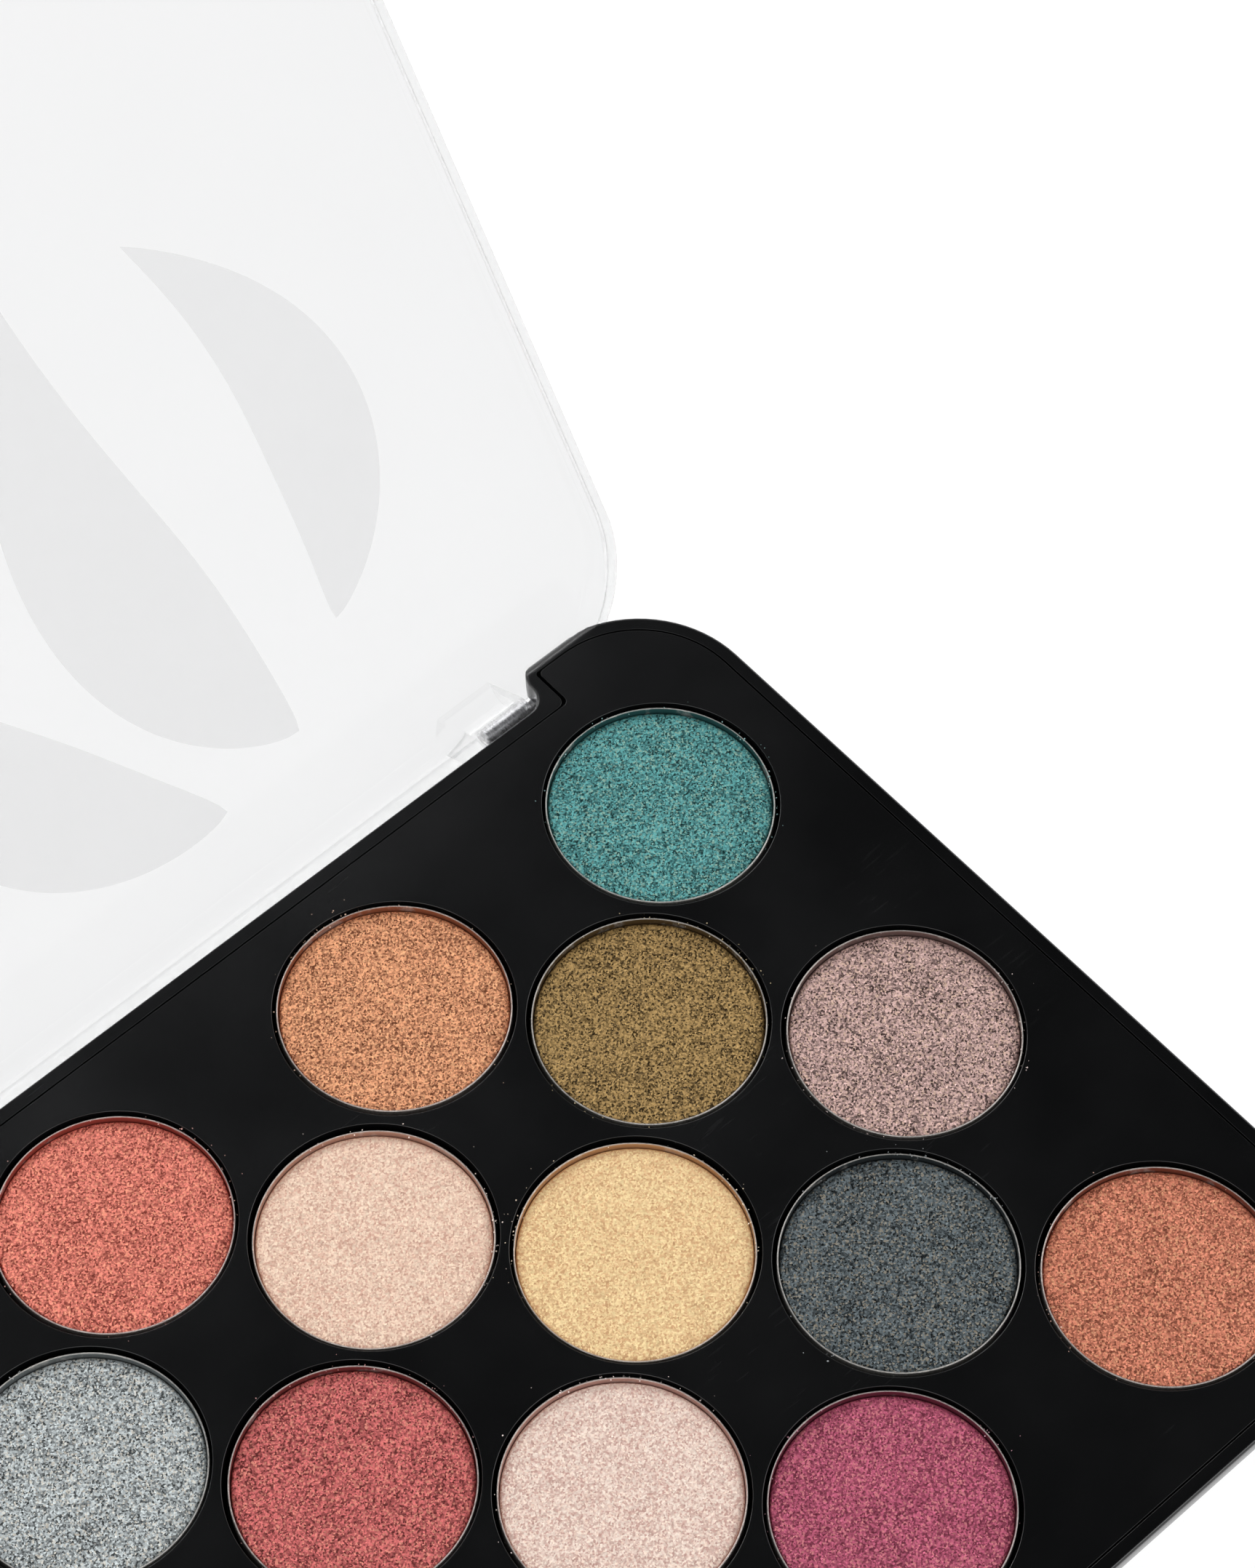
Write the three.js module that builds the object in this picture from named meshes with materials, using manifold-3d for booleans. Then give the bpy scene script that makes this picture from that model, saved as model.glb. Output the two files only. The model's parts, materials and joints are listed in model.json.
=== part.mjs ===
// Eyeshadow palette: a black base with a drop-in tray, eighteen round tins of pressed powder laid out
// in staggered rows, and a clear lid that turns on two short pins between the ears of the base.
//
// Millimetres. +X runs along the hinge, +Y to the rear, +Z up. The origin is the middle of the base's
// underside, and the lid stands open as it rests.

import * as THREE from 'three';
import { mergeVertices } from 'three/addons/utils/BufferGeometryUtils.js';
import Module from 'manifold-3d';

// ------------------------------------------------------------------ driving dimensions

// Tins and powder
const PAN_DIAMETER = 26;
const PAN_HEIGHT = 3.6;
const PAN_WALL = 0.4;
const PAN_DROP = 0.3; // rims of the tins below the top of the tray
const POWDER_DROP = 0.4; // powder surface below the rim of its tin
const POWDER_CLEARANCE = 0.05;
const PAN_GAP = 1.93; // between the rims of diagonal neighbours

// Base shell
const BASE_HEIGHT = 9.8;
const SIDE_MARGIN = 7.1; // from the rim of an outer tin to the outside of the base
const FRONT_MARGIN = 7.0;
const REAR_MARGIN = 11.3;
const CORNER_RADIUS = 15;
const EDGE_ROUNDING = 0.4;
const EAR_ROUNDING = 1.55; // rear top edge of the ears, which the lid's rim passes over
const UNDERSIDE_INSET = 6.5;
const SIDE_BAND = 0.8; // height of the upright side above the curved underside
const BASE_WALL = 1.5;
const BASE_FLOOR = 1.4;
const LIP_WIDTH = 1.65;
const EAR_LIP_WIDTH = 1.4;
const LEDGE_WIDTH = 1.2;
const EAR_WIDTH = 20.6;
const POCKET_MARGIN = 5.95; // from the rear row's rims to the wall of the hinge pocket

// Tray insert
const TRAY_THICKNESS = 1.6;
const TRAY_SEAM = 0.16;
const EAR_SEAM = 0.4;
const WELL_CLEARANCE = 0.45;
const WELL_WALL = 0.8;
const WELL_FLOOR = 1.0;
const GLUE_FILM = 0.1;

// Hinge
const PIVOT_FROM_REAR = 2.8;
const PIVOT_BELOW_TOP = 3.85;
const PIN_RADIUS = 1.0;
const PIN_IN_EAR = 5.0;
const PIN_IN_LUG = 6.3;
const PRESS_CLEARANCE = 0.03;
const RUNNING_CLEARANCE = 0.09;
const BORE_END_CLEARANCE = 0.3;
const BOSS_WALL = 1.5; // ear material beyond the blind end of the pin's bore
const LUG_RADIUS = 2.25;
const LUG_END_GAP = 1.0;
const LUG_LENGTH = 7.9;
const LUG_FLARE = 0.6; // widening of the lug's inner side, per millimetre toward the rear

// Lid
const OPEN_ANGLE = 122.3; // degrees from closed
const LID_GAP = 0.3; // between the closed lid's rim and the lip
const LID_DEPTH = 2.15; // rim to the inner face of the panel
const LID_PANEL = 1.3;
const LID_WALL = 1.85;
const LID_FILLET = 1.8;
const LID_ROUNDING = 2.0;
const SKIRT_DROP = 5.4; // how far the rear wall reaches below the top of the base
const SKIRT_END_GAP = 0.4;

// Front latch
const LATCH_WIDTH = 16;
const LATCH_THICKNESS = 0.9;
const LATCH_DROP = 3.2;
const LATCH_CLEARANCE = 0.3;

// Facets of the round shapes
const PAN_SEGMENTS = 24;
const PIN_SEGMENTS = 16;
const CORNER_SEGMENTS = 7;
const EDGE_SEGMENTS = 2;
const FILLET_SEGMENTS = 3;
const UNDERSIDE_SEGMENTS = 5;
const BARREL_SEGMENTS = 12;
const OVERLAP = 1; // how far cutters run past what they cut

// Shades of the powders, rear row first and left to right in each row
const SHADES = [
  [['champagne', '#e3cfa9'], ['coral', '#cd7363'], ['copper', '#c78965'], ['teal', '#4d817f']],
  [['silver', '#a1a5a5'], ['pink_beige', '#ebc7b1'], ['olive', '#836a40']],
  [['navy', '#4a5a78'], ['dark_red', '#b3605c'], ['peach_gold', '#efc595'], ['mauve', '#a68981']],
  [['plum', '#7d5573'], ['light_pink', '#e9c7ba'], ['charcoal', '#515658']],
  [['bronze', '#8f6a48'], ['gold', '#c9a35c'], ['magenta', '#a55568'], ['orange_brown', '#bb745c']],
];

// ------------------------------------------------------------------ derived sizes

const panRadius = PAN_DIAMETER / 2;
const rowPitch = (PAN_DIAMETER + PAN_GAP) / Math.SQRT2;
const columnPitch = 2 * rowPitch;
const longestRow = Math.max(...SHADES.map((row) => row.length));
const undersideRise = BASE_HEIGHT - SIDE_BAND;

const baseWidth = (longestRow - 1) * columnPitch + PAN_DIAMETER + 2 * SIDE_MARGIN;
const baseDepth = (SHADES.length - 1) * rowPitch + PAN_DIAMETER + FRONT_MARGIN + REAR_MARGIN;
const sideX = baseWidth / 2;
const rearY = baseDepth / 2;
const frontY = -rearY;
const rearRowY = rearY - REAR_MARGIN - panRadius;
const pocketY = rearRowY + panRadius + POCKET_MARGIN;
const pocketX = sideX - EAR_WIDTH;

const wellRadius = panRadius + WELL_CLEARANCE;
const panFloorZ = BASE_HEIGHT - PAN_DROP - PAN_HEIGHT;
const wellFloorZ = panFloorZ - GLUE_FILM;
const pivotY = rearY - PIVOT_FROM_REAR;
const pivotZ = BASE_HEIGHT - PIVOT_BELOW_TOP;
const rimZ = BASE_HEIGHT + LID_GAP;
const trayBottomZ = BASE_HEIGHT - TRAY_THICKNESS;
const panelZ = rimZ + LID_DEPTH;
const lidTopZ = panelZ + LID_PANEL;
const skirtBottomZ = BASE_HEIGHT - SKIRT_DROP;
const lugEndX = pocketX - LUG_END_GAP;

// ------------------------------------------------------------------ solid tools

const wasm = await Module();
wasm.setup();

function toSolid(geometry) {
  const plain = geometry.clone();
  plain.deleteAttribute('normal');
  plain.deleteAttribute('uv');
  const merged = mergeVertices(plain);
  return new wasm.Manifold(new wasm.Mesh({
    numProp: 3,
    vertProperties: merged.attributes.position.array,
    triVerts: new Uint32Array(merged.index.array),
  }));
}

function toGeometry(solid) {
  const mesh = solid.getMesh();
  const geometry = new THREE.BufferGeometry();
  geometry.setAttribute('position', new THREE.BufferAttribute(mesh.vertProperties, 3));
  geometry.setIndex(new THREE.BufferAttribute(mesh.triVerts, 1));
  geometry.computeVertexNormals();
  return geometry;
}

// A block between two corners.
function block(x0, x1, y0, y1, z0, z1) {
  const geometry = new THREE.BoxGeometry(x1 - x0, y1 - y0, z1 - z0);
  geometry.translate((x0 + x1) / 2, (y0 + y1) / 2, (z0 + z1) / 2);
  return toSolid(geometry);
}

// A plan outline raised from z0 to z1.
function raise(shape, z0, z1) {
  const geometry = new THREE.ExtrudeGeometry(shape, {
    depth: z1 - z0,
    bevelEnabled: false,
    curveSegments: CORNER_SEGMENTS,
  });
  geometry.translate(0, 0, z0);
  return toSolid(geometry);
}

// A section drawn in the YZ plane, drawn out along X from x0 to x1.
function drawAlongX(section, x0, x1) {
  const geometry = new THREE.ExtrudeGeometry(section, {
    depth: x1 - x0,
    bevelEnabled: false,
    curveSegments: BARREL_SEGMENTS,
  });
  const axes = new THREE.Matrix4().makeBasis(
    new THREE.Vector3(0, 1, 0),
    new THREE.Vector3(0, 0, 1),
    new THREE.Vector3(1, 0, 0),
  );
  geometry.applyMatrix4(axes);
  geometry.translate(x0, 0, 0);
  return toSolid(geometry);
}

function rodAlongX(radius, x0, x1) {
  const geometry = new THREE.CylinderGeometry(radius, radius, x1 - x0, PIN_SEGMENTS);
  geometry.rotateZ(Math.PI / 2);
  geometry.translate((x0 + x1) / 2, pivotY, pivotZ);
  return geometry;
}

// The lid and the base share this plan: a rounded rectangle, drawn in by the given inset.
function planRing(inset) {
  const radius = CORNER_RADIUS - inset;
  const centreX = sideX - CORNER_RADIUS;
  const centreY = rearY - CORNER_RADIUS;
  const corners = [[centreX, centreY], [-centreX, centreY], [-centreX, -centreY], [centreX, -centreY]];
  const points = [];
  corners.forEach(([x, y], quarter) => {
    for (let step = 0; step <= CORNER_SEGMENTS; step += 1) {
      const angle = (quarter + step / CORNER_SEGMENTS) * (Math.PI / 2);
      points.push(new THREE.Vector2(x + radius * Math.cos(angle), y + radius * Math.sin(angle)));
    }
  });
  return points;
}

// A closed solid through plan rings, each a pair of inset and height, lowest first.
function loft(levels) {
  const rings = levels.map(([inset]) => planRing(inset));
  const count = rings[0].length;
  const positions = rings.flatMap((ring, level) => ring.flatMap(({ x, y }) => [x, y, levels[level][1]]));
  const index = [];
  for (let level = 0; level < rings.length - 1; level += 1) {
    for (let i = 0; i < count; i += 1) {
      const a = level * count + i;
      const b = level * count + ((i + 1) % count);
      index.push(a, b, b + count, a, b + count, a + count);
    }
  }
  const top = (rings.length - 1) * count;
  for (const [a, b, c] of THREE.ShapeUtils.triangulateShape(rings[0], [])) {
    index.push(a, c, b, top + a, top + b, top + c);
  }
  const geometry = new THREE.BufferGeometry();
  geometry.setAttribute('position', new THREE.Float32BufferAttribute(positions, 3));
  geometry.setIndex(index);
  return toSolid(geometry);
}

// Levels of a quarter round: inset and height turn from upright to level as the edge closes over.
function roundedTop(inset, topZ, radius, segments) {
  const levels = [];
  for (let step = 0; step <= segments; step += 1) {
    const angle = (step / segments) * (Math.PI / 2);
    levels.push([inset + radius * (1 - Math.cos(angle)), topZ - radius * (1 - Math.sin(angle))]);
  }
  return levels;
}

// ------------------------------------------------------------------ base shell

// How far the curved underside has drawn in at a height above the table.
function undersideInset(z) {
  if (z >= undersideRise) {
    return 0;
  }
  const below = (undersideRise - z) / undersideRise;
  return UNDERSIDE_INSET * (1 - Math.sqrt(1 - below * below));
}

// Heights up the curved underside, closer together where it turns under.
function undersideHeights(fromZ) {
  const startAngle = Math.acos(1 - fromZ / undersideRise);
  const heights = [];
  for (let step = 0; step <= UNDERSIDE_SEGMENTS; step += 1) {
    const angle = startAngle + (step / UNDERSIDE_SEGMENTS) * (Math.PI / 2 - startAngle);
    heights.push(undersideRise * (1 - Math.cos(angle)));
  }
  return heights;
}

// The base's plan with its hinge pocket, from z0 to z1, drawn in by one inset all round and by another along
// the ears' inner sides.
function notchedPlate(inset, earInset, z0, z1) {
  const plate = loft([[inset, z0], [inset, z1]]);
  const earX = pocketX + earInset;
  return plate.subtract(block(-earX, earX, pocketY - inset, rearY + OVERLAP, z0 - OVERLAP, z1 + OVERLAP));
}

// What the ears lose above their rounded rear edge.
function earEdgeCutter() {
  const cornerY = rearY - EAR_ROUNDING;
  const cornerZ = BASE_HEIGHT - EAR_ROUNDING;
  const section = new THREE.Shape();
  section.moveTo(rearY, cornerZ);
  section.absarc(cornerY, cornerZ, EAR_ROUNDING, 0, Math.PI / 2, false);
  section.lineTo(cornerY, BASE_HEIGHT + OVERLAP);
  section.lineTo(rearY + OVERLAP, BASE_HEIGHT + OVERLAP);
  section.lineTo(rearY + OVERLAP, cornerZ);
  section.closePath();
  return drawAlongX(section, -sideX, sideX);
}

// The hollow under the tray, which leaves a ledge for the tray and a solid boss for each pin.
function baseHollow() {
  const levels = undersideHeights(BASE_FLOOR).map((z) => [undersideInset(z) + BASE_WALL, z]);
  levels.push([BASE_WALL, trayBottomZ + OVERLAP]);
  const inside = loft(levels);
  const earInset = EAR_LIP_WIDTH + LEDGE_WIDTH;
  const inLedge = notchedPlate(LIP_WIDTH + LEDGE_WIDTH, earInset, BASE_FLOOR, trayBottomZ + OVERLAP);
  let hollow = inside.intersect(inLedge);
  const bossEnd = pocketX + PIN_IN_EAR + BORE_END_CLEARANCE + BOSS_WALL;
  for (const side of [-1, 1]) {
    const [x0, x1] = [side * pocketX, side * bossEnd].sort((a, b) => a - b);
    hollow = hollow.subtract(block(x0, x1, pocketY, rearY, 0, BASE_HEIGHT));
  }
  return hollow;
}

function latchNotch() {
  const halfWidth = LATCH_WIDTH / 2 + LATCH_CLEARANCE;
  const backY = frontY + LATCH_THICKNESS + LATCH_CLEARANCE;
  const bottomZ = BASE_HEIGHT - LATCH_DROP - LATCH_CLEARANCE;
  return block(-halfWidth, halfWidth, frontY - OVERLAP, backY, bottomZ, BASE_HEIGHT + OVERLAP);
}

function baseShell() {
  const levels = undersideHeights(0).map((z) => [undersideInset(z), z]);
  levels.push(...roundedTop(0, BASE_HEIGHT, EDGE_ROUNDING, EDGE_SEGMENTS));
  let shell = loft(levels);
  shell = shell.subtract(earEdgeCutter());
  shell = shell.subtract(block(-pocketX, pocketX, pocketY, rearY + OVERLAP, -OVERLAP, BASE_HEIGHT + OVERLAP));
  shell = shell.subtract(notchedPlate(LIP_WIDTH, EAR_LIP_WIDTH, trayBottomZ, BASE_HEIGHT + OVERLAP));
  shell = shell.subtract(baseHollow());
  shell = shell.subtract(latchNotch());
  const boreEnd = pocketX + PIN_IN_EAR + BORE_END_CLEARANCE;
  for (const side of [-1, 1]) {
    const [x0, x1] = [side * (pocketX - OVERLAP), side * boreEnd].sort((a, b) => a - b);
    shell = shell.subtract(toSolid(rodAlongX(PIN_RADIUS + PRESS_CLEARANCE, x0, x1)));
  }
  return toGeometry(shell);
}

// ------------------------------------------------------------------ tray insert, tins and powders

function panPlaces() {
  const places = [];
  SHADES.forEach((row, rowNumber) => {
    row.forEach(([shade, colour], column) => {
      const x = (column - (row.length - 1) / 2) * columnPitch;
      places.push({ shade, colour, x, y: rearRowY - rowNumber * rowPitch });
    });
  });
  return places;
}

function upright(radius, x, y, z0, z1) {
  const geometry = new THREE.CylinderGeometry(radius, radius, z1 - z0, PAN_SEGMENTS);
  geometry.rotateX(Math.PI / 2);
  geometry.translate(x, y, (z0 + z1) / 2);
  return toSolid(geometry);
}

function trayInsert(places) {
  const earInset = EAR_LIP_WIDTH + EAR_SEAM;
  let tray = notchedPlate(LIP_WIDTH + TRAY_SEAM, earInset, trayBottomZ, BASE_HEIGHT);
  for (const { x, y } of places) {
    tray = tray.add(upright(wellRadius + WELL_WALL, x, y, wellFloorZ - WELL_FLOOR, BASE_HEIGHT));
  }
  for (const { x, y } of places) {
    tray = tray.subtract(upright(wellRadius, x, y, wellFloorZ, BASE_HEIGHT + OVERLAP));
  }
  return toGeometry(tray);
}

function turned(profile) {
  const points = profile.map(([radius, z]) => new THREE.Vector2(radius, z));
  const geometry = new THREE.LatheGeometry(points, PAN_SEGMENTS);
  geometry.rotateX(Math.PI / 2);
  return geometry;
}

// A drawn tin cup, standing on its floor at z = 0.
function panGeometry() {
  const inner = panRadius - PAN_WALL;
  return turned([
    [0, 0],
    [panRadius, 0],
    [panRadius, PAN_HEIGHT],
    [inner, PAN_HEIGHT],
    [inner, PAN_WALL],
    [0, PAN_WALL],
  ]);
}

// A cake of pressed powder, standing on the floor of its tin at z = 0.
function powderGeometry() {
  const radius = panRadius - PAN_WALL - POWDER_CLEARANCE;
  const height = PAN_HEIGHT - PAN_WALL - POWDER_CLEARANCE - POWDER_DROP;
  return turned([[0, 0], [radius, 0], [radius, height], [0, height]]);
}

// ------------------------------------------------------------------ hinge pins

function pinGeometry(side) {
  const [x0, x1] = [side * (lugEndX - PIN_IN_LUG), side * (pocketX + PIN_IN_EAR)].sort((a, b) => a - b);
  return rodAlongX(PIN_RADIUS, x0, x1);
}

// ------------------------------------------------------------------ lid, drawn closed

// The rear wall between the ears, carried down into the hinge pocket and curved like the base.
function lidSkirt() {
  const innerY = rearY - LID_WALL;
  const topZ = rimZ + LID_GAP;
  const section = new THREE.Shape();
  section.moveTo(innerY, topZ);
  section.lineTo(innerY, skirtBottomZ);
  for (const z of undersideHeights(skirtBottomZ)) {
    section.lineTo(rearY - undersideInset(z), z);
  }
  section.lineTo(rearY, topZ);
  section.closePath();
  return drawAlongX(section, -(pocketX - SKIRT_END_GAP), pocketX - SKIRT_END_GAP);
}

// A lug that wraps the pin, round below and upright to the panel above, with a flared inner side.
function lidLug(side) {
  const topZ = panelZ + LID_PANEL / 2;
  const section = new THREE.Shape();
  section.moveTo(pivotY - LUG_RADIUS, topZ);
  section.lineTo(pivotY - LUG_RADIUS, pivotZ);
  section.absarc(pivotY, pivotZ, LUG_RADIUS, Math.PI, 2 * Math.PI, false);
  section.lineTo(pivotY + LUG_RADIUS, topZ);
  section.closePath();
  const frontFaceY = pivotY - LUG_RADIUS;
  const backY = pivotY + LUG_RADIUS;
  const innerX = lugEndX - LUG_LENGTH;
  const plan = new THREE.Shape();
  plan.moveTo(side * lugEndX, frontFaceY);
  plan.lineTo(side * lugEndX, backY);
  plan.lineTo(side * (innerX - LUG_FLARE * (backY - frontFaceY)), backY);
  plan.lineTo(side * innerX, frontFaceY);
  plan.closePath();
  return drawAlongX(section, -sideX, sideX).intersect(raise(plan, 0, lidTopZ));
}

function latchTab() {
  const bottomZ = BASE_HEIGHT - LATCH_DROP;
  return block(-LATCH_WIDTH / 2, LATCH_WIDTH / 2, frontY, frontY + LATCH_THICKNESS, bottomZ, rimZ + LID_GAP);
}

function lidShell() {
  const outside = [[0, rimZ], ...roundedTop(0, lidTopZ, LID_ROUNDING, FILLET_SEGMENTS)];
  const hollow = [[LID_WALL, rimZ - OVERLAP], ...roundedTop(LID_WALL, panelZ, LID_FILLET, FILLET_SEGMENTS)];
  let lid = loft(outside).subtract(loft(hollow));
  lid = lid.add(lidSkirt());
  lid = lid.add(latchTab());
  for (const side of [-1, 1]) {
    const boreEnd = lugEndX - PIN_IN_LUG - BORE_END_CLEARANCE;
    const [x0, x1] = [side * boreEnd, side * (lugEndX + OVERLAP)].sort((a, b) => a - b);
    lid = lid.add(lidLug(side));
    lid = lid.subtract(toSolid(rodAlongX(PIN_RADIUS + RUNNING_CLEARANCE, x0, x1)));
  }
  return toGeometry(lid);
}

// ------------------------------------------------------------------ materials and assembly

function material(colour, roughness, metalness) {
  return new THREE.MeshStandardMaterial({ color: colour, roughness, metalness });
}

function named(name, geometry, surface) {
  const mesh = new THREE.Mesh(geometry, surface);
  mesh.name = name;
  return mesh;
}

const palette = new THREE.Group();
const places = panPlaces();

palette.add(named('base_shell', baseShell(), material('#1c1c1f', 0.35, 0)));
palette.add(named('tray_insert', trayInsert(places), material('#19191b', 0.45, 0)));

for (const { shade, colour, x, y } of places) {
  const pan = named(`pan_${shade}`, panGeometry(), material('#c9c7bf', 0.3, 1));
  pan.position.set(x, y, panFloorZ);
  palette.add(pan);
  const powder = named(`powder_${shade}`, powderGeometry(), material(colour, 0.55, 0.2));
  powder.position.set(x, y, panFloorZ + PAN_WALL + POWDER_CLEARANCE);
  palette.add(powder);
}

palette.add(named('hinge_pin_left', pinGeometry(-1), material('#b5b8bc', 0.25, 1)));
palette.add(named('hinge_pin_right', pinGeometry(1), material('#b5b8bc', 0.25, 1)));

// The lid is drawn closed, then turned open about the pins.
const hinge = new THREE.Group();
hinge.position.set(0, pivotY, pivotZ);
hinge.rotation.x = -THREE.MathUtils.degToRad(OPEN_ANGLE);
const lid = named('lid', lidShell(), material('#eef1f2', 0.08, 0));
lid.position.set(0, -pivotY, -pivotZ);
hinge.add(lid);
palette.add(hinge);

export default palette;
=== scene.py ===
"""Eyeshadow palette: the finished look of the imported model.

Black two-piece moulding with eighteen tins of pressed pearl powder, and a clear lid on two short pins.
Metres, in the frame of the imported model: +X along the hinge, +Y to the rear, +Z up.
"""

import json
import math

import bmesh
import bpy
import numpy as np
from bpy.props import FloatProperty, FloatVectorProperty, IntProperty, PointerProperty
from mathutils import Matrix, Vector
from mathutils.geometry import delaunay_2d_cdt


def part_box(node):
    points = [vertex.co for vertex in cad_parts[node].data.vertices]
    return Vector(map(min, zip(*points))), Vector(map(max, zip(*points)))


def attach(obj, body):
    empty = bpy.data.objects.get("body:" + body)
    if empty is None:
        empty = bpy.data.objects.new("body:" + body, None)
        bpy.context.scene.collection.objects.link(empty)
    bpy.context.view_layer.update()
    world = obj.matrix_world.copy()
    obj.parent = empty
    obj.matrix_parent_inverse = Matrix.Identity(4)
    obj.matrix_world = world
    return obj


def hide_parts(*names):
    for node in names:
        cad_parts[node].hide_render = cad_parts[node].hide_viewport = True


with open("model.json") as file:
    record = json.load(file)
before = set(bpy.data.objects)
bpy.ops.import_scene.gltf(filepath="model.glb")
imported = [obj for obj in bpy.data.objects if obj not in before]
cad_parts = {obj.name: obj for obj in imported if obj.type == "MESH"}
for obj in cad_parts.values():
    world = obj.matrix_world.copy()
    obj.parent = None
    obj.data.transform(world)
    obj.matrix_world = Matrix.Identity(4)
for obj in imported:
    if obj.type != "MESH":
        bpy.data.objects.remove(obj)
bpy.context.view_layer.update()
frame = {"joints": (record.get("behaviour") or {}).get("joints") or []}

bl_info = {
    "name": "Eyeshadow Palette",
    "version": (1, 0, 0),
    "blender": (4, 5, 0),
    "location": "3D View > Sidebar > Palette",
    "description": "Builds a pressed-powder palette with a clear lid round its packed model",
    "category": "Object",
}

MM = 0.001
MERGE_DISTANCE = 0.001 * MM
# Edges that turn by more than this stay sharp in the shading.
SHARP_DEGREES = 32.0
MOULDED_SHARP_DEGREES = 34.0
# The tins' attribute for the powder's dust and for the painted shadow that darkens it on the inner wall, and its
# value on a rim.
DUST_AND_SHADE_ATTRIBUTE = "dusting"
RIM_DUST = 0.25
# A piece with fewer faces than this after cutting has been lost.
FEWEST_FACES = 100

# Mean colour of each pressed powder in linear light, spread of its grain, and share of shine.
SHADES = {
    "champagne": ((0.809, 0.641, 0.413), 0.50, 0.30),
    "coral": ((0.731, 0.176, 0.131), 1.10, 0.36),
    "copper": ((0.668, 0.267, 0.139), 1.15, 0.42),
    "teal": ((0.073, 0.241, 0.239), 1.30, 0.42),
    "silver": ((0.368, 0.398, 0.401), 1.40, 0.46),
    "pink_beige": ((0.972, 0.603, 0.469), 0.45, 0.28),
    "olive": ((0.240, 0.154, 0.058), 1.50, 0.46),
    "navy": ((0.070, 0.105, 0.196), 1.25, 0.42),
    "dark_red": ((0.482, 0.117, 0.112), 1.10, 0.38),
    "peach_gold": ((0.980, 0.596, 0.318), 0.45, 0.28),
    "mauve": ((0.408, 0.274, 0.250), 1.35, 0.46),
    "plum": ((0.219, 0.094, 0.170), 1.00, 0.40),
    "light_pink": ((0.960, 0.618, 0.533), 0.55, 0.28),
    "charcoal": ((0.082, 0.099, 0.106), 1.35, 0.46),
    "bronze": ((0.287, 0.152, 0.067), 1.20, 0.44),
    "gold": ((0.617, 0.381, 0.108), 0.95, 0.42),
    "magenta": ((0.388, 0.083, 0.141), 0.80, 0.40),
    "orange_brown": ((0.510, 0.178, 0.109), 0.85, 0.40),
}


# ------------------------------------------------------------------ sizes and colours


def number(name, description, default, **more):
    """A property for one number that isn't negative."""
    return FloatProperty(name=name, description=description, default=default, min=0.0, **more)


def length(name, description, default):
    """A property for one length in metres."""
    return number(name, description, default, unit="LENGTH", subtype="DISTANCE")


def pigment(name, description, default):
    """A property for one colour in linear light."""
    return FloatVectorProperty(
        name=name, description=description, default=default, size=3, min=0.0, max=1.0, subtype="COLOR"
    )


class PaletteBaseSizes(bpy.types.PropertyGroup):
    """Sizes of the black base shell"""

    corner_radius: length("Corner radius", "Radius of the four corners in plan", 15 * MM)
    edge_rounding: length("Edge rounding", "Rounding of the outer top edge", 0.4 * MM)
    ear_rounding: length("Ear rounding", "Rounding of the rear top edge beside the hinge pocket", 1.55 * MM)
    underside_inset: length("Underside inset", "How far the curved underside draws in at the table", 6.5 * MM)
    side_band: length("Side band", "Height of the upright side above the curved underside", 0.8 * MM)
    wall: length("Wall", "Thickness of the side wall", 1.5 * MM)
    floor: length("Floor", "Thickness of the floor", 1.4 * MM)
    lip_width: length("Lip width", "Width of the flat lip round the tray", 1.65 * MM)
    ear_lip_width: length("Ear lip width", "Width of the lip along the hinge pocket's ends", 1.4 * MM)
    ledge_width: length("Ledge width", "Width of the ledge that carries the tray", 1.2 * MM)
    ear_width: length("Ear width", "Width of each ear beside the hinge pocket", 20.6 * MM)
    pocket_margin: length("Pocket margin", "From the rims of the rear tins to the pocket's wall", 5.95 * MM)
    colour: pigment("Colour", "Colour of the black plastic", (0.0018, 0.0019, 0.0021))


class PaletteTraySizes(bpy.types.PropertyGroup):
    """Sizes of the drop-in tray"""

    thickness: length("Thickness", "Thickness of the tray's plate", 1.6 * MM)
    seam: length("Seam", "Gap between the tray and the lip", 0.22 * MM)
    ear_seam: length("Ear seam", "Gap along the ears' inner sides", 0.4 * MM)
    edge_rounding: length("Edge rounding", "Rounding of the tray's outer edge", 0.04 * MM)
    well_clearance: length("Well clearance", "Gap round each tin", 0.45 * MM)
    well_rounding: length("Well rounding", "Rounding of each well's top edge", 0.09 * MM)
    cup_wall: length("Cup wall", "Thickness of each well's wall", 0.42 * MM)


class PaletteTinSizes(bpy.types.PropertyGroup):
    """Sizes of the drawn tins"""

    wall: length("Wall", "Thickness of the drawn wall", 0.2 * MM)
    foot_rounding: length("Foot rounding", "Rounding between wall and floor", 0.6 * MM)
    waviness: length("Waviness", "How far a rim wanders from a true circle", 0.025 * MM)
    off_centre: length("Off centre", "How far a tin may sit from the middle of its well", 0.17 * MM)


class PalettePowderLook(bpy.types.PropertyGroup):
    """Surface of the pressed powders"""

    grain: length("Grain", "Size of one pearl flake", 0.185 * MM)
    mottle: length("Mottle", "Size of the soft cloudy patches", 2.4 * MM)
    cloth_pitch: length("Cloth pitch", "Pitch of the press cloth's imprint", 0.42 * MM)
    unevenness: length("Unevenness", "Height of the slow waves in the surface", 0.035 * MM)
    sinking: length("Sinking", "How far the pressed surface lies below its packed box", 0.2 * MM)
    chamfer: length("Chamfer", "Width of the crumbled edge", 0.32 * MM)
    crumbs: IntProperty(name="Crumbs", description="Loose crumbs round each tin", default=60, min=0)


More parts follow.
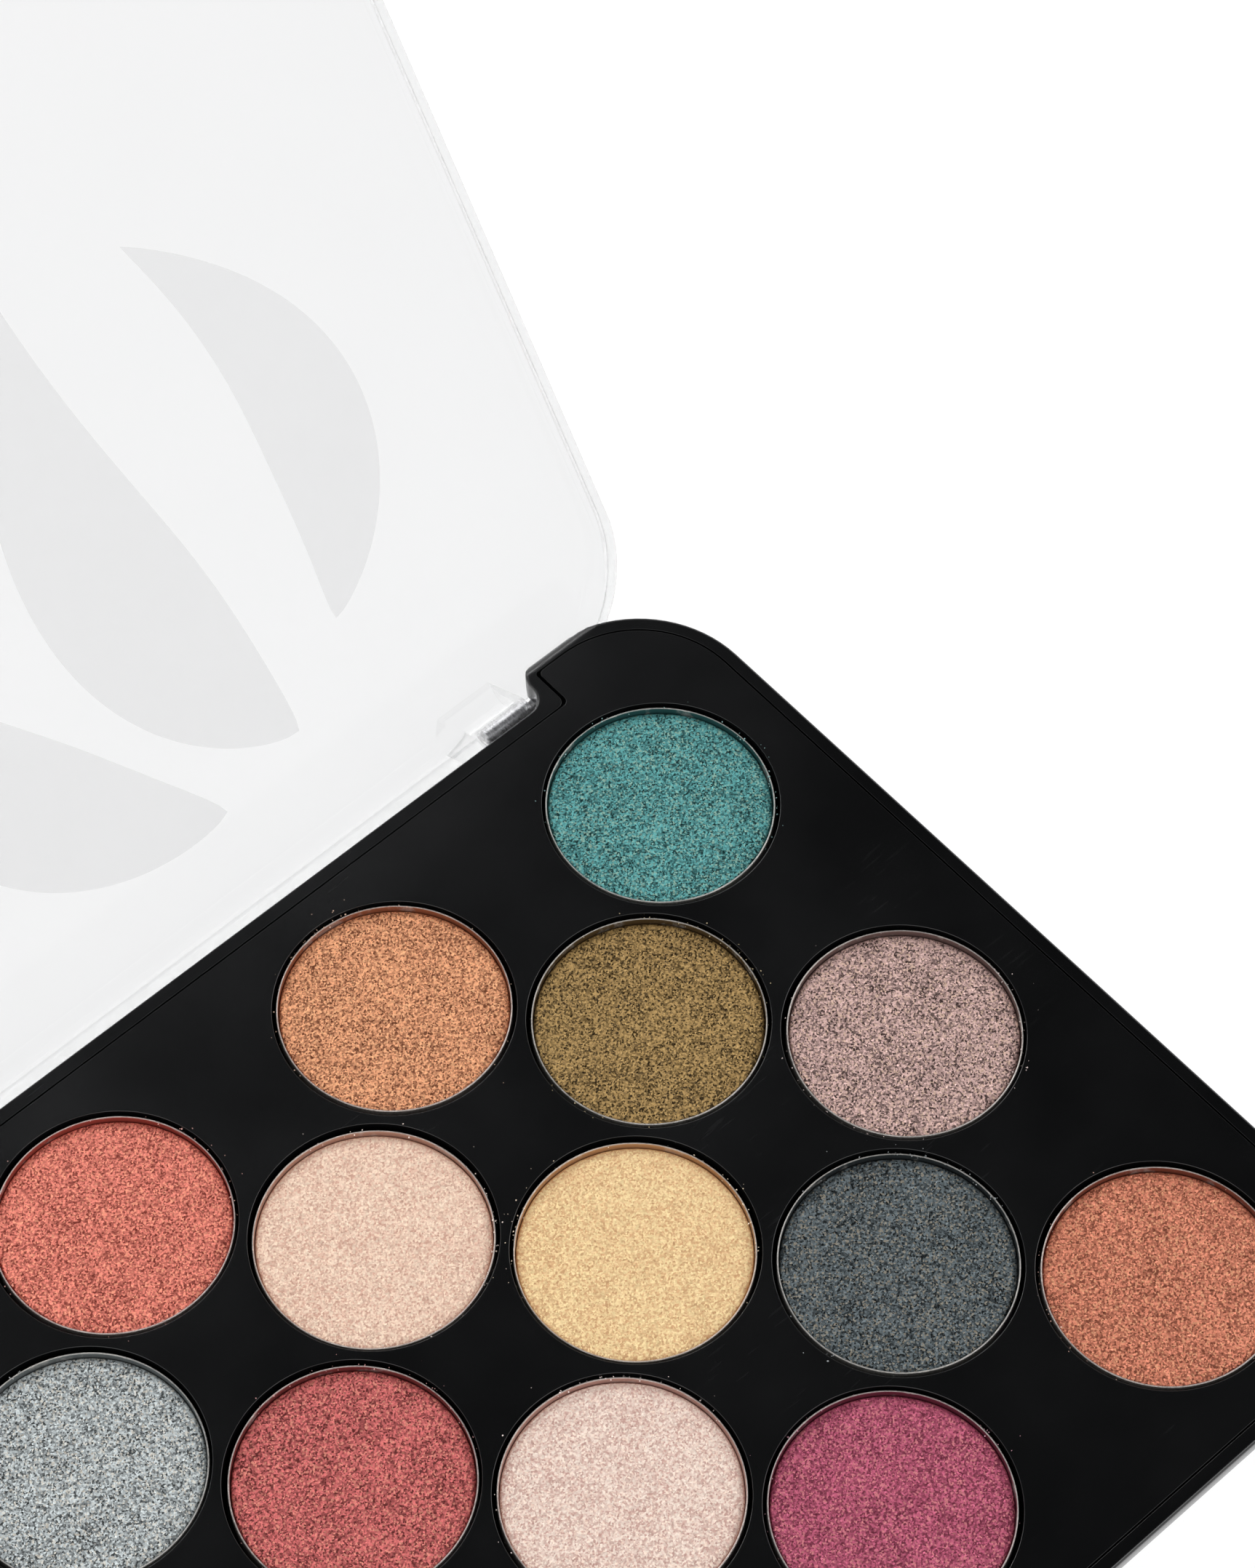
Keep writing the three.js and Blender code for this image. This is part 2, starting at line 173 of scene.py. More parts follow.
class PaletteLidSizes(bpy.types.PropertyGroup):
    """Sizes of the clear lid"""

    gap: length("Gap", "Between the closed lid's rim and the lip", 0.3 * MM)
    depth: length("Depth", "From the rim to the inside of the panel", 2.15 * MM)
    panel: length("Panel", "Thickness of the flat panel", 1.3 * MM)
    wall: length("Wall", "Thickness of the side wall", 1.85 * MM)
    fillet: length("Fillet", "Inner rounding between wall and panel", 1.8 * MM)
    rounding: length("Rounding", "Outer rounding of the front and rear edges", 2.0 * MM)
    side_rounding: length("Side rounding", "Outer rounding of the two side edges", 0.5 * MM)
    skirt_drop: length("Skirt drop", "How far the rear wall reaches below the base's top", 5.4 * MM)
    skirt_end_gap: length("Skirt end gap", "Between the rear wall and each ear", 0.4 * MM)
    lug_end_gap: length("Lug end gap", "Between each lug and its ear", 1.0 * MM)
    lug_length: length("Lug length", "Length of each hinge lug", 7.9 * MM)
    lug_radius: length("Lug radius", "Radius of each lug round its pin", 2.25 * MM)
    bore_clearance: length("Bore clearance", "Between a lug's bore and its pin", 0.09 * MM)
    latch_width: length("Latch width", "Width of the front tab", 16 * MM)
    latch_thickness: length("Latch thickness", "Thickness of the front tab", 0.9 * MM)
    latch_drop: length("Latch drop", "How far the tab reaches below the base's top", 3.2 * MM)
    latch_clearance: length("Latch clearance", "Room round the tab", 0.3 * MM)
    tint: pigment("Tint", "What the clear plastic lets through", (0.825, 0.826, 0.829))
    unbent: number("Unbent", "Share of the light that passes the plastic without bending", 0.4, max=1.0)


class PaletteStage(bpy.types.PropertyGroup):
    """Floor, lights and camera"""

    floor_radius: length("Floor radius", "Radius of the flat floor", 1.35)
    wall_height: length("Wall height", "Height of the curved rim of the floor", 1.1)
    floor_glow: number("Floor glow", "Light that the floor gives off", 0.92)
    key_power: number("Key power", "Power of the key light", 5.5, unit="POWER")
    fill_power: number("Fill power", "Power of each fill light", 3.2, unit="POWER")


# ------------------------------------------------------------------ mesh work


def grid_faces(rows, columns):
    """Quads between neighbouring rows of a grid whose columns close on themselves."""
    row = np.arange(rows - 1)[:, None] * columns
    here = np.arange(columns)[None, :]
    after = (here + 1) % columns
    corners = np.stack((row + here, row + after, row + columns + after, row + columns + here), axis=-1)
    return corners.reshape(-1, 4).tolist()


def closed_loft(rings, cap_first=True, cap_last=True):
    """Points and faces of a skin over an array of rings (ring, place on the ring, xyz), with flat ends."""
    rings = np.asarray(rings)
    count, around = rings.shape[:2]
    faces = grid_faces(count, around)
    if cap_first:
        faces.append(list(range(around))[::-1])
    if cap_last:
        faces.append(list(range((count - 1) * around, count * around)))
    return rings.reshape(-1, 3), faces


def gathered(parts):
    """Joins (points, faces) pairs into one pair."""
    points, faces, first = [], [], 0
    for part_points, part_faces in parts:
        points.append(part_points)
        faces.extend([[corner + first for corner in face] for face in part_faces])
        first += len(part_points)
    return np.concatenate(points), faces


def make_piece(name, points, faces, material, sharp_degrees=SHARP_DEGREES):
    """Makes an object at the origin, closes seams and poles, turns faces outwards and shades it smooth."""
    mesh = bpy.data.meshes.new(name)
    mesh.from_pydata(np.asarray(points, float).tolist(), [], faces)
    piece = bpy.data.objects.new(name, mesh)
    bpy.context.scene.collection.objects.link(piece)
    closed(mesh)
    smooth(mesh, sharp_degrees)
    mesh.materials.append(material)
    return piece


def closed(mesh):
    """Merges coincident points, drops faces without area and turns the rest outwards."""
    work = bmesh.new()
    work.from_mesh(mesh)
    bmesh.ops.remove_doubles(work, verts=work.verts, dist=MERGE_DISTANCE)
    bmesh.ops.dissolve_degenerate(work, edges=work.edges, dist=MERGE_DISTANCE / 4)
    bmesh.ops.recalc_face_normals(work, faces=work.faces)
    work.to_mesh(mesh)
    work.free()


def smooth(mesh, sharp_degrees):
    """Shades a mesh smooth but for its sharp edges."""
    mesh.shade_smooth()
    mesh.set_sharp_from_angle(angle=math.radians(sharp_degrees))


def settle_modifiers(piece):
    """Replaces a piece's mesh by the mesh its modifiers make."""
    graph = bpy.context.evaluated_depsgraph_get()
    result = bpy.data.meshes.new_from_object(piece.evaluated_get(graph))
    piece.modifiers.clear()
    old, piece.data = piece.data, result
    bpy.data.meshes.remove(old)
    result.name = piece.name


def without_flaps(mesh):
    """Deletes pairs of faces that lie back to back on the same points."""
    work = bmesh.new()
    work.from_mesh(mesh)
    found = {}
    for face in work.faces:
        found.setdefault(frozenset(face.verts), []).append(face)
    flaps = [face for faces in found.values() if len(faces) > 1 for face in faces]
    bmesh.ops.delete(work, geom=flaps, context="FACES")
    bmesh.ops.delete(work, geom=[edge for edge in work.edges if not edge.link_faces], context="EDGES")
    work.to_mesh(mesh)
    work.free()


def cut_or_join(piece, tools, operation):
    """Joins tool pieces to a piece, or cuts them from it, and removes the tools."""
    for tool in tools:
        step = piece.modifiers.new(operation, "BOOLEAN")
        step.operation, step.solver, step.object, step.use_self = operation, "EXACT", tool, True
        settle_modifiers(piece)
        mesh = tool.data
        bpy.data.objects.remove(tool)
        bpy.data.meshes.remove(mesh)
    without_flaps(piece.data)
    if len(piece.data.polygons) < FEWEST_FACES:
        raise RuntimeError(f"nothing is left of {piece.name}")


def filleted(corners, radii, segments):
    """A closed outline with each corner of a polygon replaced by a tangent arc.

    For a corner with unit directions to its neighbours, the arc's centre lies on their bisector at the
    radius over the sine of half the angle, and the arc turns evenly from one tangent point to the other.
    """
    corners, radii = np.asarray(corners, float), np.asarray(radii, float)
    back = np.roll(corners, 1, axis=0) - corners
    ahead = np.roll(corners, -1, axis=0) - corners
    back_length, ahead_length = (np.maximum(np.linalg.norm(d, axis=1), 1e-12) for d in (back, ahead))
    flat = np.minimum(back_length, ahead_length) < 1e-9
    back, ahead = back / back_length[:, None], ahead / ahead_length[:, None]
    half = np.arccos(np.clip((back * ahead).sum(1), -1, 1)) / 2
    straight = flat | (half > math.radians(89.9))
    half = np.where(straight, math.pi / 4, half)
    reach = np.where(straight, 0.0, radii / np.tan(half))
    middle = back + ahead
    middle /= np.maximum(np.linalg.norm(middle, axis=1), 1e-12)[:, None]
    radius = np.where(straight, 0.0, radii)
    centre = corners + middle * (radius / np.sin(half))[:, None]
    start = corners + back * reach[:, None] - centre
    sweep = np.where(straight, 0.0, math.pi - 2 * half)
    turn = np.sign(start[:, 1] * back[:, 0] - start[:, 0] * back[:, 1])
    angle = np.linspace(0, 1, segments + 1)[None, :] * (sweep * turn)[:, None]
    x = start[:, :1] * np.cos(angle) - start[:, 1:] * np.sin(angle) + centre[:, :1]
    y = start[:, :1] * np.sin(angle) + start[:, 1:] * np.cos(angle) + centre[:, 1:]
    return np.stack((x, y), axis=-1).reshape(-1, 2)


def round_angles(segments):
    """Evenly spaced angles once round a circle."""
    return np.linspace(0, 2 * math.pi, segments, endpoint=False)


def carried_round(centre, reach, angle, height):
    """Points at the given distances from an upright axis, angles about it, and heights."""
    x, y = centre[0] + reach * np.cos(angle), centre[1] + reach * np.sin(angle)
    return np.stack((x, y, np.broadcast_to(height, x.shape)), axis=-1)


def revolved(profile, centre, segments, wander=None):
    """A skin turned about an upright axis: each (radius, height) of the profile is carried round a circle.

    wander(angle) is added to the radius, in proportion to the radius, where a rim is not a true circle.
    """
    angle = round_angles(segments)
    radius, height = np.asarray(profile, float).T
    extra = 0.0 if wander is None else wander(angle) * (radius / radius.max())[:, None]
    return carried_round(centre, radius[:, None] + extra, angle, height[:, None])


def arc(centre, radius, from_degrees, to_degrees, steps):
    """Points on an arc in a section plane."""
    angle = np.radians(np.linspace(from_degrees, to_degrees, steps + 1))
    return [(centre[0] + radius * math.cos(a), centre[1] + radius * math.sin(a)) for a in angle]


def quarter_turn(steps):
    """Pairs (1 - cos, 1 - sin) of an angle that goes from 0 to 90 degrees in the given number of steps."""
    return [(1 - math.cos(a), 1 - math.sin(a)) for a in np.linspace(0, math.pi / 2, steps + 1)]


def with_height(outline, z):
    return np.column_stack((outline, np.full(len(outline), z)))


def extruded(section, starts, ends):
    """A closed skin over a section of (y, z) points, drawn out along X from its starts to its ends."""
    y, z = np.asarray(section).T
    return closed_loft([np.column_stack((np.broadcast_to(x, y.shape), y, z)) for x in (starts, ends)])


# ------------------------------------------------------------------ node work


def plug(node, inputs):
    """Sets a node's inputs, each to a plain value or to another node's output."""
    for key, value in inputs.items():
        if isinstance(value, bpy.types.NodeSocket):
            node.id_data.links.new(value, node.inputs[key])
        else:
            node.inputs[key].default_value = value


def add(tree, kind, inputs=None, **settings):
    """Adds a node with its settings and inputs."""
    made = tree.nodes.new(kind)
    for key, value in settings.items():
        setattr(made, key, value)
    plug(made, inputs or {})
    return made


def math_node(tree, operation, first, second=0.0, clamp=False):
    return add(tree, "ShaderNodeMath", {0: first, 1: second}, operation=operation, use_clamp=clamp).outputs[0]


def times(tree, first, second, clamp=False):
    return math_node(tree, "MULTIPLY", first, second, clamp)


def plus(tree, first, second):
    return math_node(tree, "ADD", first, second)


def vector_node(tree, operation, first, more=None):
    return add(tree, "ShaderNodeVectorMath", {0: first, **(more or {})}, operation=operation).outputs[0]


def blend_colours(tree, factor, first, second):
    """Mixes two colours, each a colour or another node's output."""
    first_socket, second_socket, result_socket = 6, 7, 2
    inputs = {0: factor, first_socket: first, second_socket: second}
    return add(tree, "ShaderNodeMix", inputs, data_type="RGBA", blend_type="MIX").outputs[result_socket]


def ramp(tree, value, low, high, out_low=0.0, out_high=1.0):
    """Stretches low..high of a value to out_low..out_high, clamped."""
    return add(
        tree, "ShaderNodeMapRange",
        {"Value": value, "From Min": low, "From Max": high, "To Min": out_low, "To Max": out_high},
    ).outputs[0]


def bumped(tree, strength, distance, height):
    return add(tree, "ShaderNodeBump", {"Strength": strength, "Distance": distance, "Height": height}).outputs[0]


def channels(tree, colour_output):
    """The three channels of a colour, as outputs."""
    return add(tree, "ShaderNodeSeparateColor", {0: colour_output}).outputs


def stretched(tree, place, scale, rotation=(0, 0, 0)):
    return add(tree, "ShaderNodeMapping", {"Vector": place, "Rotation": rotation, "Scale": scale}).outputs[0]


def new_finish(name):
    """A material with an empty shader, and its object coordinates."""
    material = bpy.data.materials.new(name)
    material.use_nodes = True
    tree = material.node_tree
    tree.nodes.clear()
    shader = add(tree, "ShaderNodeBsdfPrincipled")
    output = add(tree, "ShaderNodeOutputMaterial", {"Surface": shader.outputs[0]})
    place = add(tree, "ShaderNodeTexCoord").outputs["Object"]
    return material, tree, shader, output, place


def noise(tree, place, size, detail=2.0, roughness=0.5):
    """Soft noise whose patches are about the given size across."""
    return add(
        tree, "ShaderNodeTexNoise",
        {"Vector": place, "Scale": 0.5 / size, "Detail": detail, "Roughness": roughness},
    ).outputs["Fac"]


def flakes(tree, place, size):
    """Irregular cells of the given size; the node has a distance and a random colour for each cell."""
    return add(tree, "ShaderNodeTexVoronoi", {"Vector": place, "Scale": 1.0 / size, "Randomness": 1.0})


def rgb(colour, gain=1.0):
    """A colour socket's value, with the colour's channels multiplied by a gain."""
    return tuple(min(channel * gain, 1.0) for channel in colour) + (1.0,)


def grey(level):
    return rgb((level, level, level))


def black_plastic(name, colour, roughness, grain):
    """Moulded black plastic: fine spark-eroded grain, soft smudges in the gloss, and a few motes of dust."""
    material, tree, shader, _, place = new_finish(name)
    smudge = noise(tree, place, 9 * MM, 3.0)
    fine = noise(tree, place, grain, 1.0)
    mote = flakes(tree, place, 5.2 * MM)
    speck = math_node(tree, "LESS_THAN", mote.outputs["Distance"], 0.014)
    rare = math_node(tree, "GREATER_THAN", channels(tree, mote.outputs["Color"])[0], 0.55)
    dust = times(tree, speck, rare)
    tone = blend_colours(tree, ramp(tree, smudge, 0.3, 0.7), rgb(colour, 0.86), rgb(colour, 1.16))
    gloss = ramp(tree, smudge, 0.3, 0.7, roughness - 0.035, roughness + 0.04)
    drawn = stretched(tree, place, (0.08, 1.0, 1.0), (0, 0, 0.6))
    hairline = ramp(tree, noise(tree, drawn, 0.22 * MM, 1.0), 0.66, 0.72)
    rubbed = ramp(tree, noise(tree, place, 11 * MM, 1.0), 0.60, 0.68)
    worn = plus(tree, times(tree, dust, 0.4), times(tree, times(tree, hairline, rubbed), 0.05))
    plug(shader, {
        "Base Color": blend_colours(tree, dust, tone, grey(0.20)),
        "Roughness": plus(tree, gloss, worn),
        "Normal": bumped(tree, 0.16, 0.004 * MM, fine),
        "IOR": 1.54,
    })
    return material


def powder_finish(shade, look):
    """Pressed pearl powder: flakes that each catch the light their own way, soft clouds and a faint cloth imprint.

    A flake's level mixes its own random value, that of a coarser flake, fine grit and the clouds, and picks a
    colour between a deep and a bright form of the shade. One random value also picks the few flakes that spark:
    their bright pearl colour is partly the flakes' own lighter pearl and partly a painted glint in the base colour.
    """
    colour, spread, shine = SHADES[shade]
    material, tree, shader, _, place = new_finish(f"powder_{shade}")
    cell = flakes(tree, place, look.grain)
    own = channels(tree, cell.outputs["Color"])
    coarse = channels(tree, flakes(tree, place, look.grain * 2.1).outputs["Color"])[0]
    cloud = noise(tree, place, look.mottle, 4.0, 0.6)
    grit = noise(tree, place, look.grain * 0.9, 1.0)

    level = times(tree, own[0], 0.66)
    parts = ((coarse, 0.10), (ramp(tree, grit, 0.25, 0.75), 0.10), (ramp(tree, cloud, 0.3, 0.7), 0.14))
    for value, weight in parts:
        level = plus(tree, level, times(tree, value, weight))
    dark, light = max(1.0 - 0.60 * spread, 0.18), 1.0 + 0.60 * spread
    deep = tuple(c ** (1.0 + 0.20 * spread) * dark for c in colour) + (1.0,)
    bright = tuple(min(c * light, 0.98) for c in colour) + (1.0,)
    tone = blend_colours(tree, ramp(tree, level, 0.2, 0.8), deep, bright)
    # A few flakes take a bright pearl colour: partly their own lighter pearl, partly a painted glint.
    pearl = rgb([gain * c**power for c, gain, power in zip(colour, (1.15, 1.1, 1.05), (0.5, 0.58, 0.7))])
    spark = times(tree, ramp(tree, own[1], 0.82, 0.9, 0.0, 0.8), min(spread, 0.8))

    tilt = vector_node(tree, "SUBTRACT", cell.outputs["Color"], {1: (0.5, 0.5, 0.5)})
    tilt = vector_node(tree, "SCALE", tilt, {"Scale": 0.55 * min(spread + 0.25, 1.0)})
    cloth = {
        "Vector": place, "Scale": 0.314 / look.cloth_pitch, "Distortion": 0.6, "Detail": 1.0, "Detail Scale": 2.0,
    }
    weave = [
        add(tree, "ShaderNodeTexWave", cloth, bands_direction=direction).outputs["Fac"] for direction in ("X", "Y")
    ]
    height = plus(tree, times(tree, *weave), times(tree, grit, 1.4))
    turned = vector_node(tree, "ADD", bumped(tree, 0.55, 0.03 * MM, height), {1: tilt})
    plug(shader, {
        "Base Color": blend_colours(tree, spark, tone, pearl),
        "Metallic": ramp(tree, own[2], 0.0, 1.0, shine * 0.5, shine * 1.5),
        "Roughness": ramp(tree, own[1], 0.0, 1.0, 0.34, 0.62),
        "Normal": vector_node(tree, "NORMALIZE", turned),
        "IOR": 1.33,
    })
    return material


def tin_finish(shade):
    """Drawn aluminium: fine lines round the wall, dusted with the shade's powder, whose colour is darkened on the
    inner wall as a painted shadow under the rim.
    """
    colour = SHADES[shade][0]
    material, tree, shader, _, place = new_finish(f"tin_{shade}")
    patch = noise(tree, place, 1.3 * MM, 4.0, 0.65)
    streak = noise(tree, place, 0.12 * MM, 2.0)
    # This mask carries real dust and, on the inner wall, a painted shadow.
    inner = add(tree, "ShaderNodeAttribute", attribute_name=DUST_AND_SHADE_ATTRIBUTE).outputs["Fac"]
    dust = times(tree, inner, ramp(tree, patch, 0.34, 0.50, 0.72, 1.15), clamp=True)
    metal = blend_colours(tree, ramp(tree, streak, 0.3, 0.7), (0.50, 0.48, 0.45, 1.0), (0.80, 0.77, 0.72, 1.0))
    # The caked colour is darker than the powder: real dust, darkened further as a painted shadow under the rim.
    caked_and_shaded = tuple(c**1.3 * 0.40 for c in colour) + (1.0,)
    plug(shader, {
        "Base Color": blend_colours(tree, dust, metal, caked_and_shaded),
        "Metallic": ramp(tree, dust, 0.0, 1.0, 1.0, 0.35),
        "Roughness": ramp(tree, plus(tree, streak, dust), 0.3, 1.5, 0.24, 0.6),
        "Normal": bumped(tree, 0.35, 0.015 * MM, streak),
    })
    return material


def steel_finish():
    """Ground steel pin with fine lines across it."""
    material, tree, shader, _, place = new_finish("ground_steel")
    lines = noise(tree, stretched(tree, place, (1.0, 0.12, 0.12)), 0.05 * MM, 3.0)
    plug(shader, {
        "Base Color": blend_colours(tree, lines, (0.66, 0.66, 0.67, 1.0), (0.88, 0.88, 0.89, 1.0)),
        "Roughness": ramp(tree, lines, 0.3, 0.7, 0.18, 0.34),
        "Metallic": 0.85,
        "Normal": bumped(tree, 0.25, 0.01 * MM, lines),
    })
    return material


def clear_plastic(sizes):
    """Clear moulded plastic, slightly grey, with faint flow marks.

    A share of the light goes straight through, which keeps the edges pale, and lamps shine through it.
    """
    material, tree, shader, output, place = new_finish("clear_plastic")
    flow = noise(tree, place, 14 * MM, 2.0)
    streaks = ramp(tree, flow, 0.35, 0.65)
    plug(shader, {
        "Base Color": blend_colours(tree, streaks, rgb(sizes.tint, 0.993), rgb(sizes.tint, 1.007)),
        "Roughness": ramp(tree, flow, 0.3, 0.7, 0.02, 0.05),
        "Normal": bumped(tree, 0.1, 0.05 * MM, flow),
        "Transmission Weight": 1.0,
        "IOR": 1.26,
    })
    lamp = add(tree, "ShaderNodeLightPath").outputs["Is Shadow Ray"]
    through = add(tree, "ShaderNodeBsdfTransparent", {"Color": (0.93, 0.93, 0.935, 1.0)})
    # One surface lets the root of the tint through, and a little more as it reflects nothing.
    unbent = add(tree, "ShaderNodeBsdfTransparent", {"Color": rgb([math.sqrt(c) for c in sizes.tint], 1.013)})
    body = add(tree, "ShaderNodeMixShader", {0: sizes.unbent, 1: shader.outputs[0], 2: unbent.outputs[0]})
    mixed = add(tree, "ShaderNodeMixShader", {0: lamp, 1: body.outputs[0], 2: through.outputs[0]})
    plug(output, {"Surface": mixed.outputs[0]})
    return material


def print_ink():
    """Thin grey translucent print with a slightly uneven film."""
    material, tree, shader, _, place = new_finish("print_ink")
    film = noise(tree, place, 3 * MM, 3.0)
    plug(shader, {
        "Base Color": blend_colours(tree, film, (0.36, 0.36, 0.37, 1.0), (0.44, 0.44, 0.45, 1.0)),
        "Roughness": ramp(tree, film, 0.3, 0.7, 0.4, 0.5),
        "Alpha": 0.10,
    })
    return material


# ------------------------------------------------------------------ plan of base, tray and lid


class Plan:
    """Lengths that the base, the tray and the lid share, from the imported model's boxes."""

    def __init__(self, scene):
        sizes = scene.palette_base
        low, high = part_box("base_shell")
        self.side_x, self.rear_y, self.top_z = high.x, high.y, high.z
        self.front_y = low.y
        self.corner = sizes.corner_radius
        self.rise = self.top_z - sizes.side_band
        self.underside = sizes.underside_inset
        self.pocket_x = self.side_x - sizes.ear_width
        rear_row = max(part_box(f"pan_{shade}")[1].y for shade in SHADES)
        self.pocket_y = rear_row + sizes.pocket_margin
        hinge = frame["joints"][0]
        self.pivot_y, self.pivot_z = hinge["pos_m"][1], hinge["pos_m"][2]
        self.open_angle = math.radians(hinge["range_deg"][1] - hinge["range_deg"][0])
        low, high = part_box("hinge_pin_right")
        self.pin_inner, self.pin_outer, self.pin_radius = low.x, high.x, (high.z - low.z) / 2

    def draw_in(self, z):
        """Inset of the curved underside: a quarter ellipse from the side band down to the table."""
        below = np.clip((self.rise - np.asarray(z, float)) / self.rise, 0, 1)
        return self.underside * (1 - np.sqrt(1 - below**2))

    def outline(self, inset, ear_inset, pocket_inset, notch=None, rear=None, radii=(math.inf, math.inf)):
        """Plan outline with the hinge pocket, and the latch notch (half width, y of its back) when given.

        The radii are those of the ears' rear corners and the pocket's inner corners, as far as there is room.
        Without a notch, doubled points on the front edge keep the number of points the same.
        """
        side, front = self.side_x - inset, self.front_y + inset
        rear = self.rear_y - inset if rear is None else rear
        corner = self.corner - inset
        ear_x = self.pocket_x + ear_inset
        back_y = min(self.pocket_y - pocket_inset, rear)
        half, notch_y = notch or (8.3 * MM, front)
        room = max(rear - back_y, 0.0) / 2
        ear, inner = min(radii[0], room), min(radii[1], room)
        corners = [
            (half, notch_y), (half, front), (side, front), (side, rear),
            (ear_x, rear), (ear_x, back_y), (-ear_x, back_y), (-ear_x, rear),
            (-side, rear), (-side, front), (-half, front), (-half, notch_y),
        ]
        rounding = [0, 0, corner, corner, ear, inner, inner, ear, corner, corner, 0, 0]
        return filleted(corners, rounding, 20)


# ------------------------------------------------------------------ pieces


class PALETTE_OT_base(bpy.types.Operator):
    """Build the black base shell: one skin from the underside over the lip and down inside"""

    bl_idname = "palette.base"
    bl_label = "Base Shell"

    def execute(self, context):
        sizes, plan = context.scene.palette_base, Plan(context.scene)
        lid, top = context.scene.palette_lid, plan.top_z
        tray_z = top - context.scene.palette_tray.thickness
        half = lid.latch_width / 2 + lid.latch_clearance
        notch_y = plan.front_y + lid.latch_thickness + lid.latch_clearance
        notch_bottom = top - lid.latch_drop - lid.latch_clearance
        lip_edge, lip_margin, corners = 0.04 * MM, 0.04 * MM, (0.5 * MM, 1.0 * MM)
        rings = []

        def ear_cut(z):
            """Where the ears' rounded rear edge lies at a height: an arc behind the flat rear face."""
            over = np.clip(z - (top - sizes.ear_rounding), 0, sizes.ear_rounding)
            return plan.rear_y - sizes.ear_rounding + math.sqrt(max(sizes.ear_rounding**2 - over**2, 0.0))

        def ring(inset, z, pocket=0.0, notch=None):
            outline = plan.outline(inset, pocket, pocket, notch)
            outline[:, 1] = np.minimum(outline[:, 1], ear_cut(z))
            rings.append(with_height(outline, z))

        def lip(outward):
            """The lip's inner outline, moved outwards."""
            inset, ear = sizes.lip_width - outward, sizes.ear_lip_width - outward
            return plan.outline(inset, ear, inset, radii=corners)

        # Up the curved underside; one level lies where the pocket's wall leaves the outline.
        meet = plan.rear_y - plan.pocket_y
        meet_z = plan.rise * (1 - math.sqrt(max(1 - (1 - meet / plan.underside) ** 2, 0.0)))
        turn = np.linspace(0, math.pi / 2, 15)
        for z in sorted(set(np.round(plan.rise * (1 - np.cos(turn)), 7)) | {meet_z, notch_bottom}):
            ring(float(plan.draw_in(z)), z, notch=(half, notch_y) if z > notch_bottom else None)
            if z == notch_bottom:
                ring(float(plan.draw_in(z)), z, notch=(half, notch_y))
        # Over the outer edge and across the lip. The ears' rear edge has its own, larger rounding.
        for pull, drop in quarter_turn(10):
            pull, drop = sizes.edge_rounding * pull, sizes.edge_rounding * drop
            ring(pull, top - drop, 0.6 * pull, (half + 0.3 * pull, notch_y + 0.3 * pull))
        flat_notch = (half + lip_edge, notch_y + lip_edge + 0.02 * MM)
        ring(sizes.edge_rounding + 0.05 * MM, top, 0.29 * MM, flat_notch)
        support = lip(lip_edge + lip_margin)
        support[:, 1] = np.minimum(support[:, 1], ear_cut(top) - 0.01 * MM)
        rings.append(with_height(support, top))
        rings += [with_height(lip(lip_edge * pull), top - lip_edge * drop) for drop, pull in quarter_turn(5)]
        rings.append(with_height(lip(0.0), tray_z))
        # The ledge, then the hollow, which stops short of the ears.
        ledge = sizes.lip_width + sizes.ledge_width
        for z in (tray_z, 7 * MM, 5 * MM, 3 * MM, 2 * MM, sizes.floor):
            inset = max(ledge, float(plan.draw_in(z)) + sizes.wall)
            outline = plan.outline(inset, sizes.ear_lip_width, 0.0, rear=plan.pocket_y - ledge)
            rings.append(with_height(outline, z))
        material = black_plastic("black_gloss", sizes.colour, 0.20, 0.11 * MM)
        piece = make_piece("base_body", *closed_loft(rings), material, MOULDED_SHARP_DEGREES)
        start, end, radius = plan.pocket_x - 1 * MM, plan.pin_outer + 0.3 * MM, plan.pin_radius + 0.03 * MM
        cut_or_join(piece, [rod("bore", s * start, s * end, radius, plan, material) for s in (-1, 1)], "DIFFERENCE")
        smooth(piece.data, MOULDED_SHARP_DEGREES)
        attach(piece, "base")
        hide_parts("base_shell")
        return {"FINISHED"}


def rod(name, start_x, end_x, radius, plan, material, chamfer=0.0, segments=48):
    """A round rod along the hinge line: a chamfered profile carried round the pivot axis."""
    low, high = sorted((start_x, end_x))
    reach = np.array([0, radius - chamfer, radius, radius, radius - chamfer, 0])
    along = np.array([low, low, low + chamfer, high - chamfer, high, high])
    turned = carried_round((plan.pivot_y, plan.pivot_z), reach[:, None], round_angles(segments), along[:, None])
    return make_piece(name, *closed_loft(turned[..., [2, 0, 1]], False, False), material)


def flat_with_holes(outline, centres, radius, z, segments, upward):
    """A flat face between an outline and round holes: a triangulation whose triangles inside holes are left out."""
    angle = round_angles(segments)
    circle = radius * np.column_stack((np.cos(angle), np.sin(angle)))
    loops = [outline] + [circle + centre for centre in centres]
    points, edges, first = np.concatenate(loops), [], 0
    for loop in loops:
        index = np.arange(len(loop)) + first
        edges.extend(np.column_stack((index, np.roll(index, -1))).tolist())
        first += len(loop)
    # Working in millimetres keeps the triangulation's tolerance meaningful.
    found = delaunay_2d_cdt((points / MM).tolist(), edges, [], 1, 1e-5)
    flat = np.array([tuple(v) for v in found[0]]) * MM
    triangles = np.array([list(face) for face in found[2]])
    middle = flat[triangles].mean(axis=1)
    away = np.linalg.norm(middle[:, None, :] - np.asarray(centres)[None, :, :], axis=-1).min(axis=1)
    triangles = triangles[away > radius * 0.999]
    if not upward:
        triangles = triangles[:, ::-1]
    return with_height(flat, z), triangles.tolist()


